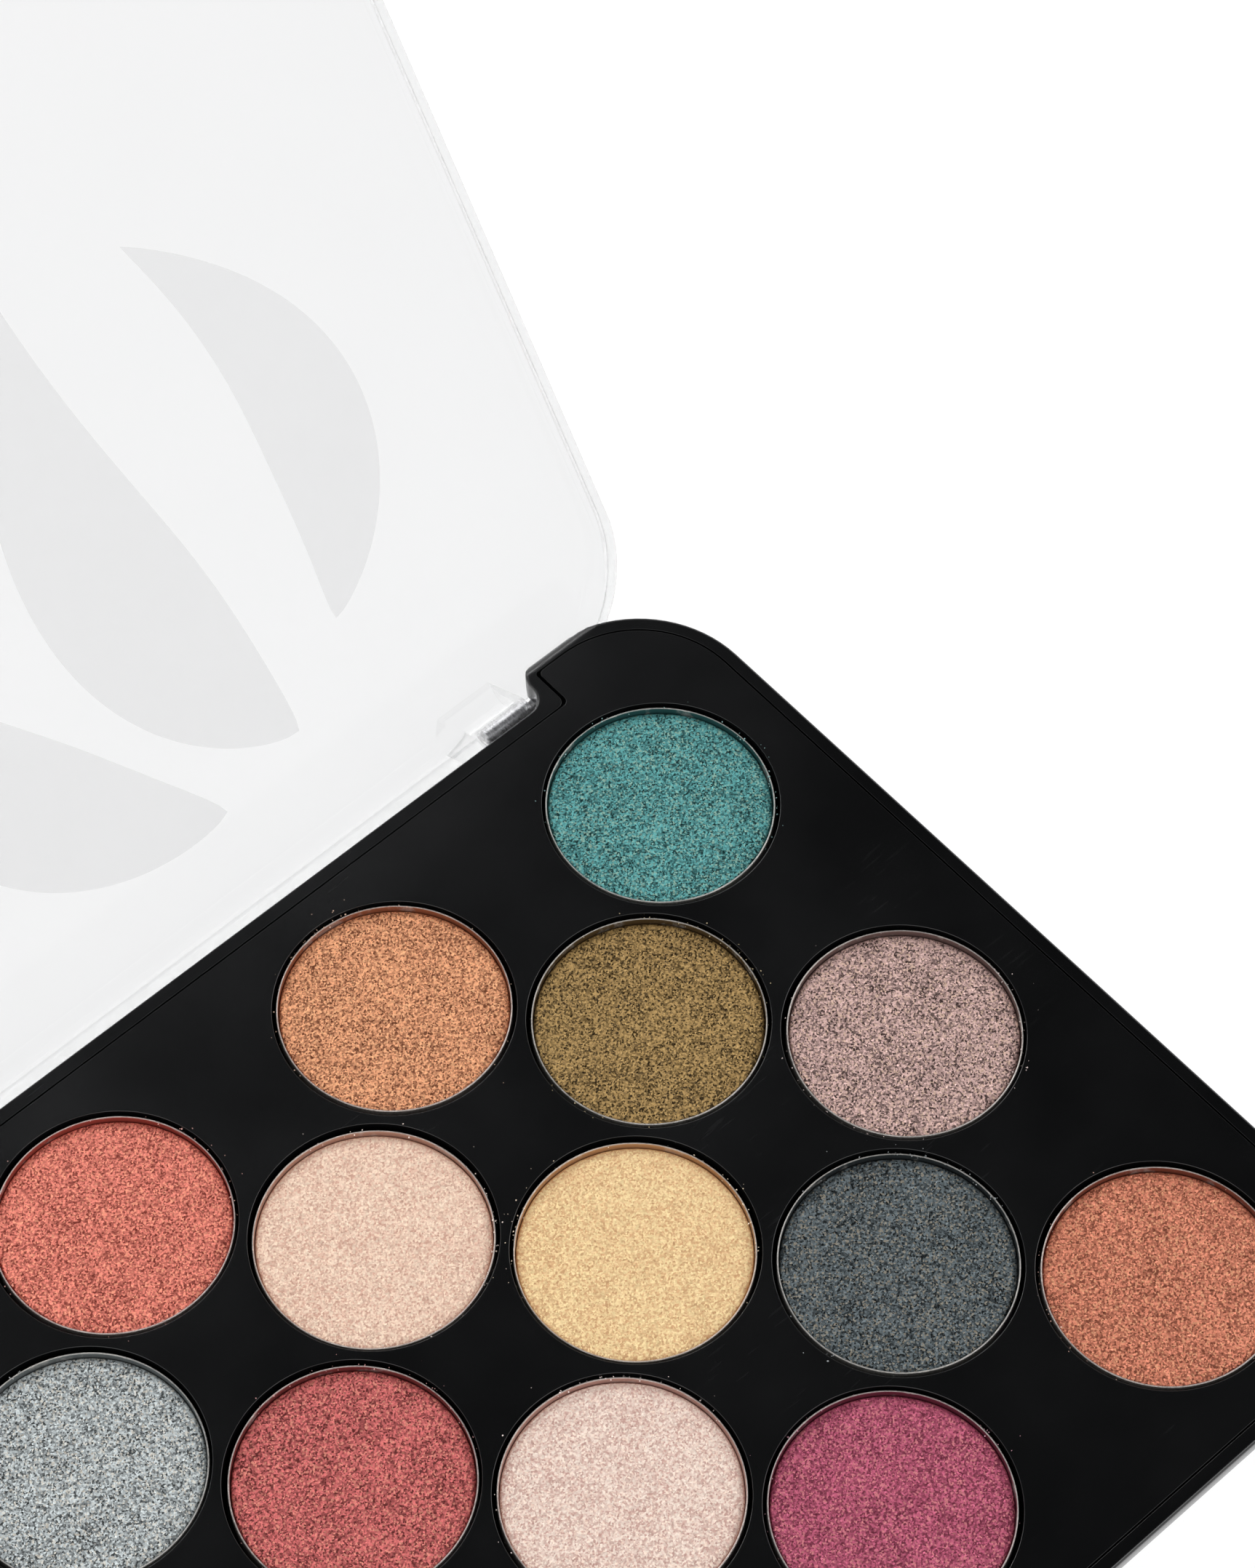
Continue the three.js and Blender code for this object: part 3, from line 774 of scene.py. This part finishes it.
class PALETTE_OT_tray(bpy.types.Operator):
    """Build the tray: a plate with rounded edges and eighteen moulded wells"""

    bl_idname = "palette.tray"
    bl_label = "Tray"

    def execute(self, context):
        sizes, base, plan = context.scene.palette_tray, context.scene.palette_base, Plan(context.scene)
        cup_bottom, top = (corner.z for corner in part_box("tray_insert"))
        bottom = top - sizes.thickness
        inset, ear = base.lip_width + sizes.seam, base.ear_lip_width + sizes.ear_seam
        places = [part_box(f"pan_{shade}") for shade in SHADES]
        centres = np.array([((a.x + b.x) / 2, (a.y + b.y) / 2) for a, b in places])
        low, high = places[0]
        well, well_floor = (high.x - low.x) / 2 + sizes.well_clearance, low.z - 0.1 * MM
        round_over, edge, support = sizes.well_rounding, sizes.edge_rounding, 0.05 * MM
        cup, foot, segments = well + sizes.cup_wall, 0.6 * MM, 112
        floor_rounding = 0.35 * MM

        def outline(extra):
            return plan.outline(inset + extra, ear + extra, inset + extra, radii=(0.7 * MM, 0.8 * MM))

        rings = [with_height(outline(support + edge), bottom)]
        rings += [with_height(outline(edge * pull), bottom + edge * rise) for rise, pull in quarter_turn(5)]
        rings += [with_height(outline(edge * pull), top - edge * drop) for pull, drop in quarter_turn(6)]
        rings.append(with_height(outline(support + edge), top))
        hole = well + round_over + support
        parts = [
            closed_loft(rings, False, False),
            flat_with_holes(outline(support + edge), centres, hole, top, segments, True),
            flat_with_holes(outline(support + edge), centres, cup, bottom, segments, False),
        ]
        inside = [(hole, top), (hole - support, top)]
        inside += arc((well + round_over, top - round_over), round_over, 90, 180, 6)[1:]
        inside += [(well, top - 2 * MM)]
        inside += arc((well - floor_rounding, well_floor + floor_rounding), floor_rounding, 0, -90, 4)
        inside += [(well * 0.5, well_floor), (0, well_floor)]
        outside = [(cup, bottom)] + arc((cup - foot, cup_bottom + foot), foot, 0, -90, 4) + [(0, cup_bottom)]
        for centre in centres:
            parts += [closed_loft(revolved(side, centre, segments), False, False) for side in (inside, outside)]
        material = black_plastic("black_satin", base.colour, 0.22, 0.09 * MM)
        piece = make_piece("tray", *gathered(parts), material, MOULDED_SHARP_DEGREES)
        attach(piece, "base")
        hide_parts("tray_insert")
        return {"FINISHED"}


def waves(random, count, amplitude):
    """A smooth closed wandering round a circle: a sum of a few sines with random phases."""
    orders = random.integers(2, 14, count)
    phases = random.uniform(0, 2 * math.pi, count)
    sizes = random.uniform(0.3, 1.0, count) / orders
    total = sizes.sum()

    def wander(angle):
        turns = orders[:, None] * angle[None, :] + phases[:, None]
        return amplitude * (sizes[:, None] * np.sin(turns)).sum(0) / total

    return wander


def seat(shade, tins):
    """Where a hand-pressed tin sits: a little off the middle of its well, from a seeded draw that can go on.

    Gives the centre, the tin's radius, the heights of its floor and rim, and the source of random numbers.
    """
    low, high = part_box(f"pan_{shade}")
    random = np.random.default_rng(100 + list(SHADES).index(shade))
    angle, reach = random.uniform(0, 2 * math.pi), tins.off_centre * math.sqrt(random.uniform(0.1, 1.0))
    x, y = (low.x + high.x) / 2 + reach * math.cos(angle), (low.y + high.y) / 2 + reach * math.sin(angle)
    return np.array([x, y]), (high.x - low.x) / 2, low.z, high.z, random


class PALETTE_OT_tins(bpy.types.Operator):
    """Build the eighteen drawn tins with their rolled rims"""

    bl_idname = "palette.tins"
    bl_label = "Tins"

    def execute(self, context):
        sizes = context.scene.palette_tins
        for shade in SHADES:
            centre, radius, floor_z, rim_z, random = seat(shade, sizes)
            radius -= sizes.waviness
            wall, roll, foot, inner_foot = sizes.wall, sizes.wall / 2, sizes.foot_rounding, 0.3 * MM
            inner = radius - wall
            profile = [(0, floor_z), (radius * 0.6, floor_z)]
            profile += arc((radius - foot, floor_z + foot), foot, -90, 0, 5) + [(radius, floor_z + 2 * MM)]
            profile += arc((radius - roll, rim_z - roll), roll, 0, 180, 10)
            profile += [(inner, rim_z - 0.5 * MM), (inner, floor_z + 2 * MM)]
            profile += arc((inner - inner_foot, floor_z + wall + inner_foot), inner_foot, 0, -90, 3)
            profile += [(0, floor_z + wall)]
            rings = revolved(profile, centre, 160, waves(random, 7, sizes.waviness))
            piece = make_piece(f"tin_{shade}", *closed_loft(rings, False, False), tin_finish(shade))
            dust_and_shade_the_inside(piece.data, centre, inner, rim_z)
            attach(piece, "base")
            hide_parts(f"pan_{shade}")
        return {"FINISHED"}


def dust_and_shade_the_inside(mesh, centre, inner, rim_z):
    """Stores how much dust and painted shadow each point of a tin takes: full on the inner wall, fading out over the
    rim.
    """
    points = np.empty(len(mesh.vertices) * 3)
    mesh.vertices.foreach_get("co", points)
    points = points.reshape(-1, 3)
    reach = np.linalg.norm(points[:, :2] - centre, axis=1)
    fading = np.clip((inner + 0.10 * MM - reach) / (0.1 * MM), RIM_DUST, 1)
    amount = np.where(points[:, 2] < rim_z - 0.09 * MM, 1.0, fading)
    amount = np.where(reach > inner + 0.15 * MM, RIM_DUST, amount)
    layer = mesh.attributes.new(DUST_AND_SHADE_ATTRIBUTE, "FLOAT", "POINT")
    layer.data.foreach_set("value", amount)


class PALETTE_OT_powders(bpy.types.Operator):
    """Build the eighteen cakes of pressed powder"""

    bl_idname = "palette.powders"
    bl_label = "Pressed Powders"

    def execute(self, context):
        look, tins = context.scene.palette_powder, context.scene.palette_tins
        segments, steps = 168, 64
        angle = round_angles(segments)
        share = np.linspace(0, 1, steps)[:, None] ** 0.9
        for shade in SHADES:
            low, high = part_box(f"powder_{shade}")
            level_z = high.z - look.sinking
            centre, radius, _, _, random = seat(shade, tins)
            radius -= tins.wall + 2 * tins.waviness + 0.03 * MM
            flat = radius - look.chamfer
            ragged = waves(random, 9, 0.12 * MM)(angle)
            reach = share * flat + ragged * share**12
            height = self.slow_waves(reach * np.cos(angle), reach * np.sin(angle), random)
            # The surface drops a little at the crumbled edge, below which a jagged chamfer leads to the side.
            height = look.unevenness * height - 0.05 * MM * share**18
            rings = [carried_round(centre, reach, angle, level_z + np.minimum(height, 0.0))]
            jag = 0.05 * MM * np.sin(angle * 37 + random.uniform(0, 6)) * np.sin(angle * 23)
            for outward, down in ((0.4, 0.07), (0.75, 0.18), (0.95, 0.36)):
                reach = flat + outward * look.chamfer + ragged * (1 - outward) + jag * (1 - outward)
                rings.append(carried_round(centre, reach, angle, level_z - look.unevenness - down * MM)[None])
            edge = radius - 0.01 * MM
            side = [(edge, level_z - 0.8 * MM), (edge, low.z), (radius * 0.5, low.z), (0, low.z)]
            rings.append(revolved(side, centre, segments))
            skin = closed_loft(np.concatenate(rings), False, False)
            piece = make_piece(f"cake_{shade}", *skin, powder_finish(shade, look), 60.0)
            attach(piece, "base")
            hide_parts(f"powder_{shade}")
        return {"FINISHED"}

    def slow_waves(self, x, y, random):
        """Waves over the surface, about -2 to 0 high: a mean of sines with random headings, lengths and phases."""
        count, total = 14, np.zeros_like(x)
        for _ in range(count):
            heading, wave = random.uniform(0, 2 * math.pi), random.uniform(2.2, 7.0) * MM
            along = x * math.cos(heading) + y * math.sin(heading)
            total += np.sin(along * 2 * math.pi / wave + random.uniform(0, 2 * math.pi))
        return total / count * 2.2 - 1.0


# A crumb is an icosahedron: cyclic turns of (+-1, +-golden ratio, 0), at distance 1 from the middle.
GOLDEN = (1 + math.sqrt(5)) / 2
QUARTER = [(-1, GOLDEN), (1, GOLDEN), (-1, -GOLDEN), (1, -GOLDEN)]
CRUMB_CORNERS = np.array(
    [(a, b, 0) for a, b in QUARTER] + [(0, a, b) for a, b in QUARTER] + [(b, 0, a) for a, b in QUARTER]
) / math.hypot(1, GOLDEN)
CRUMB_FACES = np.array([
    (0, 11, 5), (0, 5, 1), (0, 1, 7), (0, 7, 10), (0, 10, 11),
    (1, 5, 9), (5, 11, 4), (11, 10, 2), (10, 7, 6), (7, 1, 8),
    (3, 9, 4), (3, 4, 2), (3, 2, 6), (3, 6, 8), (3, 8, 9),
    (4, 9, 5), (2, 4, 11), (6, 2, 10), (8, 6, 7), (9, 8, 1),
])


class PALETTE_OT_crumbs(bpy.types.Operator):
    """Scatter loose crumbs of each powder on its rim, in its well and on the tray beside it"""

    bl_idname = "palette.crumbs"
    bl_label = "Loose Crumbs"

    def execute(self, context):
        look, tins = context.scene.palette_powder, context.scene.palette_tins
        tray_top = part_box("tray_insert")[1].z
        for shade in SHADES:
            centre, radius, _, rim_z, _ = seat(shade, tins)
            random = np.random.default_rng(400 + list(SHADES).index(shade))
            count = look.crumbs
            # Crumbs gather about four headings, in four bands: on the rim, in the gap, beside the well, farther out.
            cluster = random.uniform(0, 2 * math.pi, 4)
            angle = cluster[random.integers(0, 4, count)] + random.normal(0, 0.45, count)
            band = random.choice(4, count, p=(0.40, 0.46, 0.09, 0.05))
            inward = random.uniform(0.05, 0.5, count)
            outward = [random.uniform(*ends, count) for ends in ((0.05, 0.25), (0.62, 1.1), (0.62, 2.6))]
            reach = radius + np.choose(band, [-inward] + outward) * MM
            size = random.uniform(0.03, 0.10, count) * MM
            size = np.where(band == 3, size * 0.6, size)
            sunk = rim_z - random.uniform(0.05, 0.6, count) * MM
            height = np.choose(band, [np.full(count, rim_z), sunk] + [np.full(count, tray_top)] * 2)
            middle = carried_round(centre, reach, angle, height + size * 0.55)
            stretch = random.uniform(0.6, 1.3, (count, 1, 3)) * random.uniform(0.75, 1.2, (count, 12, 1))
            points = middle[:, None, :] + CRUMB_CORNERS * stretch * size[:, None, None]
            faces = (CRUMB_FACES + (np.arange(count) * 12)[:, None, None]).reshape(-1, 3).tolist()
            material = bpy.data.materials[f"powder_{shade}"]
            piece = make_piece(f"crumbs_{shade}", points.reshape(-1, 3), faces, material, 20.0)
            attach(piece, "base")
        return {"FINISHED"}


class PALETTE_OT_pins(bpy.types.Operator):
    """Build the two ground steel hinge pins"""

    bl_idname = "palette.pins"
    bl_label = "Hinge Pins"

    def execute(self, context):
        plan, material = Plan(context.scene), steel_finish()
        for side in ("left", "right"):
            low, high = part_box(f"hinge_pin_{side}")
            piece = rod(f"pin_{side}", low.x, high.x, plan.pin_radius, plan, material, 0.2 * MM, 96)
            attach(piece, "base")
            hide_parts(f"hinge_pin_{side}")
        return {"FINISHED"}


def opened_piece(name, skin, plan, material):
    """Makes a piece drawn for the closed lid, turned about the pins to where the open lid rests."""
    points, faces = skin
    points = np.asarray(points, float)
    y, z = points[:, 1] - plan.pivot_y, points[:, 2] - plan.pivot_z
    cosine, sine = math.cos(plan.open_angle), -math.sin(plan.open_angle)
    y, z = plan.pivot_y + y * cosine - z * sine, plan.pivot_z + y * sine + z * cosine
    return make_piece(name, np.column_stack((points[:, 0], y, z)), faces, material)


class PALETTE_OT_lid(bpy.types.Operator):
    """Build the clear lid with its rear wall, two bored lugs and front tab"""

    bl_idname = "palette.lid"
    bl_label = "Clear Lid"

    def execute(self, context):
        sizes, plan = context.scene.palette_lid, Plan(context.scene)
        rim = plan.top_z + sizes.gap
        panel = rim + sizes.depth
        top = panel + sizes.panel
        skirt = plan.top_z - sizes.skirt_drop
        skirt_x = plan.pocket_x - sizes.skirt_end_gap
        steps = 28

        def outline(inset):
            """Rounded rectangle with the rear wall's ends marked by doubled points."""
            side, front, rear = plan.side_x - inset, plan.front_y + inset, plan.rear_y - inset
            ends = [(skirt_x, rear)] * 2 + [(-skirt_x, rear)] * 2
            corner = plan.corner - inset
            corners = [(side, front), (side, rear)] + ends + [(-side, rear), (-side, front)]
            return filleted(corners, [corner, corner, 0, 0, 0, 0, corner, corner], steps)

        # The rear wall hangs from the second of the doubled points at one end to the first at the other.
        hanging = slice(3 * (steps + 1), 5 * (steps + 1))

        def rim_ring(inset, share):
            """A ring along the rim whose part along the rear wall hangs down, all the way for a share of 0."""
            points = with_height(outline(inset), rim)
            depth = skirt + share * (rim - skirt)
            points[hanging, 2] = depth
            if inset == 0.0:
                points[hanging, 1] = plan.rear_y - float(plan.draw_in(depth))
            return points

        # Inside, from the panel down the wall to the rim, then outside up to the top.
        fillet, nick, margin = sizes.fillet, 0.15 * MM, 0.1 * MM
        rings = [with_height(outline(sizes.wall + fillet + margin), panel)]
        for pull, drop in quarter_turn(8)[::-1]:
            rings.append(with_height(outline(sizes.wall + fillet * pull), panel - fillet * drop))
        rings += [rim_ring(sizes.wall, share) for share in (1.0, 0.8, 0.55, 0.3, 0.1, 0.0)]
        rings.append(rim_ring(sizes.wall - nick, 0.0))
        rings += [rim_ring(0.0, tenth / 10) for tenth in range(11)]
        rings.append(with_height(outline(0.0), top - sizes.rounding - 0.05 * MM))
        # The upper edge: tight along the sides, and wide along the front and rear.
        edge = outline(0.0)
        inward = (outline(MM) - edge) / MM
        rounding = sizes.side_rounding + (sizes.rounding - sizes.side_rounding) * inward[:, 1] ** 2
        for pull, drop in quarter_turn(10):
            rings.append(np.column_stack((edge + inward * (rounding * pull)[:, None], top - rounding * drop)))
        rings.append(with_height(edge + inward * (rounding + margin)[:, None], top))
        material = clear_plastic(sizes)
        piece = opened_piece("clear_lid", closed_loft(rings), plan, material)

        tools = [self.lug(side, sizes, plan, panel, material) for side in (-1, 1)]
        tools.append(self.tab(sizes, plan, rim, material))
        cut_or_join(piece, tools, "UNION")
        start, end = plan.pin_inner - 0.3 * MM, plan.pocket_x - sizes.lug_end_gap + 1 * MM
        radius = plan.pin_radius + sizes.bore_clearance
        cut_or_join(piece, [rod("bore", s * start, s * end, radius, plan, material) for s in (-1, 1)], "DIFFERENCE")
        smooth(piece.data, SHARP_DEGREES)
        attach(piece, "lid")
        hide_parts("lid")
        return {"FINISHED"}

    def lug(self, side, sizes, plan, panel, material):
        """A hinge lug: a round-footed upright section drawn out along the hinge, flared on its inner side."""
        radius, end = sizes.lug_radius, plan.pocket_x - sizes.lug_end_gap
        top = panel + sizes.panel / 2
        section = arc((plan.pivot_y, plan.pivot_z), radius, 180, 360, 24)
        section = [(plan.pivot_y - radius, top)] + section + [(plan.pivot_y + radius, top)]
        inner = end - sizes.lug_length - 0.6 * (np.array(section)[:, 0] - (plan.pivot_y - radius))
        tool = opened_piece("lug", extruded(section, side * inner, side * end), plan, material)
        soften = tool.modifiers.new("soften", "BEVEL")
        soften.width, soften.segments, soften.limit_method = 0.3 * MM, 4, "ANGLE"
        settle_modifiers(tool)
        return tool

    def tab(self, sizes, plan, rim, material):
        """The front tab: a thin plate with a rounded foot, drawn out along the hinge's direction."""
        y0, y1 = plan.front_y + 0.02 * MM, plan.front_y + sizes.latch_thickness
        foot, half, r = plan.top_z - sizes.latch_drop, sizes.latch_width / 2, 0.3 * MM
        root = rim + 0.3 * MM
        section = arc((y0 + r, foot + r), r, 180, 270, 5) + arc((y1 - r, foot + r), r, 270, 360, 5)
        section = [(y0, root)] + section + [(y1, root)]
        return opened_piece("tab", extruded(section, -half, half), plan, material)


class PALETTE_OT_print(bpy.types.Operator):
    """Lay the lid's translucent print: long curved leaves on the inside of the panel"""

    bl_idname = "palette.print"
    bl_label = "Lid Print"

    def execute(self, context):
        sizes, plan = context.scene.palette_lid, Plan(context.scene)
        z = plan.top_z + sizes.gap + sizes.depth - 0.03 * MM
        # A spine's start, bend and end (x, y in the closed lid, mm), and the leaf's half width.
        leaves = [
            ((34, 47), (14, 22), (24, -20), 9.5),
            ((44, 38), (61, 14), (40, -14), 7.0),
            ((22, 50), (-8, 38), (-10, 2), 8.5),
            ((20, -24), (2, -34), (-6, -52), 6.0),
            ((-14, 44), (-44, 32), (-48, -2), 9.0),
            ((-20, 2), (-26, -30), (-52, -44), 7.0),
        ]
        skin = gathered([self.leaf(*leaf, z) for leaf in leaves])
        piece = opened_piece("lid_print", skin, plan, print_ink())
        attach(piece, "lid")
        return {"FINISHED"}

    def leaf(self, start, bend, end, half, z):
        """A thin closed leaf along a quadratic curve a(1-t)^2 + 2bt(1-t) + ct^2, with width sin(pi t^0.85)^0.9."""
        t, across = np.linspace(0, 1, 65)[:, None, None], np.linspace(-1, 1, 13)[None, :, None]
        a, b, c = (np.array(point, float) * MM for point in (start, bend, end))
        spine = (1 - t) ** 2 * a + 2 * (t * (1 - t)) * b + t**2 * c
        heading = 2 * (1 - t) * (b - a) + 2 * t * (c - b)
        heading /= np.linalg.norm(heading, axis=-1, keepdims=True)
        aside = np.stack((-heading[..., 1], heading[..., 0]), axis=-1)
        width = half * MM * np.sin(math.pi * t**0.85) ** 0.9
        plan_points = spine + aside * (width * across)
        rows, columns = plan_points.shape[:2]
        index = np.arange(rows * columns).reshape(rows, columns)
        quads = np.stack((index[:-1, :-1], index[1:, :-1], index[1:, 1:], index[:-1, 1:]), axis=-1).reshape(-1, 4)
        rim = np.concatenate((index[0, :-1], index[:-1, -1], index[-1, :0:-1], index[:0:-1, 0]))
        following, count = np.roll(rim, -1), index.size
        walls = np.column_stack((rim, following, following + count, rim + count))
        flat, thickness = plan_points.reshape(-1, 2), 0.015 * MM
        points = np.concatenate((with_height(flat, z), with_height(flat, z - thickness)))
        return points, np.concatenate((quads, quads[:, ::-1] + count, walls)).tolist()


# Radius of the bend between the floor and its upright rim.
FLOOR_BEND = 0.45
# Direction of the dark ceiling's middle, and the room's colour.
CEILING = (0.30, 0.22, 0.93)
SKY_COLOUR = (0.95, 0.97, 1.0, 1.0)
# Each soft light's name, place, width and height.
SOFT_LIGHTS = (
    ("key", (0.22, 1.00, 0.66), 0.8, 0.4),
    ("left_fill", (-0.75, -0.35, 1.05), 1.0, 0.8),
    ("front_fill", (0.25, -0.95, 0.75), 0.8, 0.5),
    ("side_fill", (0.95, -0.30, 0.70), 0.6, 0.5),
)
CAMERA_LENS = 104.516
CAMERA_PLACE = (-0.126769, -0.159934, 0.445886)
# The camera's right, up and backward directions.
CAMERA_AXES = ((0.7427, -0.6696, 0.0052), (0.5652, 0.6310, 0.5314), (-0.3591, -0.3917, 0.8471))


class PALETTE_OT_stage(bpy.types.Operator):
    """Set up the pale floor, soft lights and the camera"""

    bl_idname = "palette.stage"
    bl_label = "Floor, Lights and Camera"

    def execute(self, context):
        stage, scene = context.scene.palette_stage, context.scene
        scene.view_settings.view_transform = "Standard"
        bend, radius = FLOOR_BEND, stage.floor_radius
        profile = [(0, 0), (0.4, 0), (radius, 0)]
        profile += [(radius + x, z) for x, z in arc((0, bend), bend, -90, 0, 16)]
        profile += [(radius + bend, stage.wall_height)]
        points, faces = closed_loft(revolved(profile, (0, 0), 96), False, False)
        floor = bpy.data.objects.new("floor", bpy.data.meshes.new("floor"))
        floor.data.from_pydata(points.tolist(), [], faces)
        scene.collection.objects.link(floor)
        closed(floor.data)
        floor.data.flip_normals()
        floor.data.shade_smooth()
        material, tree, shader, _, place = new_finish("pale_floor")
        plug(shader, {
            "Base Color": blend_colours(tree, noise(tree, place, 60 * MM, 3.0), grey(0.105), grey(0.115)),
            "Roughness": 0.7,
            "Emission Color": grey(1.0),
            "Emission Strength": stage.floor_glow,
        })
        floor.data.materials.append(material)

        world = bpy.data.worlds.new("studio")
        world.use_nodes = True
        # The room is pale all round but for a dark ceiling, which is less dark towards the rear.
        sky = world.node_tree
        heading = add(sky, "ShaderNodeTexCoord").outputs["Generated"]
        facing = add(sky, "ShaderNodeVectorMath", {0: heading, 1: CEILING}, operation="DOT_PRODUCT").outputs["Value"]
        dome = ramp(sky, facing, 0.66, 0.88, 0.62, 0.03)
        toward_rear = add(sky, "ShaderNodeSeparateXYZ", {0: heading}).outputs["Y"]
        rear = ramp(sky, toward_rear, 0.38, 0.52, 0.03, 0.30)
        plug(sky.nodes["Background"], {"Strength": math_node(sky, "MAXIMUM", dome, rear), "Color": SKY_COLOUR})
        scene.world = world

        for name, place, width, height in SOFT_LIGHTS:
            power = stage.key_power if name == "key" else stage.fill_power
            self.soft_light(scene, name, place, width, height, power)

        data = bpy.data.cameras.new("camera")
        data.lens, data.sensor_width = CAMERA_LENS, 36.0
        data.clip_start, data.clip_end = 0.01, 20.0
        camera = bpy.data.objects.new("camera", data)
        scene.collection.objects.link(camera)
        camera.matrix_world = Matrix.Translation(CAMERA_PLACE) @ Matrix(CAMERA_AXES).transposed().to_4x4()
        scene.camera = camera
        return {"FINISHED"}

    def soft_light(self, scene, name, place, width, height, power):
        """A rectangular soft light that faces the middle of the palette."""
        data = bpy.data.lights.new(name, "AREA")
        data.shape, data.size, data.size_y, data.energy = "RECTANGLE", width, height, power
        lamp = bpy.data.objects.new(name, data)
        lamp.location = place
        lamp.rotation_mode = "QUATERNION"
        lamp.rotation_quaternion = lamp.location.to_track_quat("Z", "Y")
        scene.collection.objects.link(lamp)


class PALETTE_PT_sidebar(bpy.types.Panel):
    """Lists the palette's sizes and the steps that build it"""

    bl_idname = "PALETTE_PT_sidebar"
    bl_label = "Eyeshadow Palette"
    bl_space_type = "VIEW_3D"
    bl_region_type = "UI"
    bl_category = "Palette"

    def draw(self, context):
        for group, _ in SETTINGS:
            box = self.layout.box()
            settings = getattr(context.scene, group)
            for name in settings.bl_rna.properties.keys():
                if name not in ("rna_type", "name"):
                    box.prop(settings, name)
        for step in STEPS:
            self.layout.operator(step.bl_idname)


SETTINGS = (
    ("palette_base", PaletteBaseSizes),
    ("palette_tray", PaletteTraySizes),
    ("palette_tins", PaletteTinSizes),
    ("palette_powder", PalettePowderLook),
    ("palette_lid", PaletteLidSizes),
    ("palette_stage", PaletteStage),
)
STEPS = (
    PALETTE_OT_stage, PALETTE_OT_base, PALETTE_OT_tray, PALETTE_OT_tins, PALETTE_OT_powders,
    PALETTE_OT_crumbs, PALETTE_OT_pins, PALETTE_OT_lid, PALETTE_OT_print,
)


def register():
    for name, group in SETTINGS:
        bpy.utils.register_class(group)
        setattr(bpy.types.Scene, name, PointerProperty(type=group))
    for step in STEPS:
        bpy.utils.register_class(step)
    bpy.utils.register_class(PALETTE_PT_sidebar)


def unregister():
    bpy.utils.unregister_class(PALETTE_PT_sidebar)
    for step in reversed(STEPS):
        bpy.utils.unregister_class(step)
    for name, group in reversed(SETTINGS):
        delattr(bpy.types.Scene, name)
        bpy.utils.unregister_class(group)


def main():
    """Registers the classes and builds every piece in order."""
    register()
    for step in STEPS:
        family, action = step.bl_idname.split(".")
        getattr(getattr(bpy.ops, family), action)()


if __name__ == "__main__":
    main()
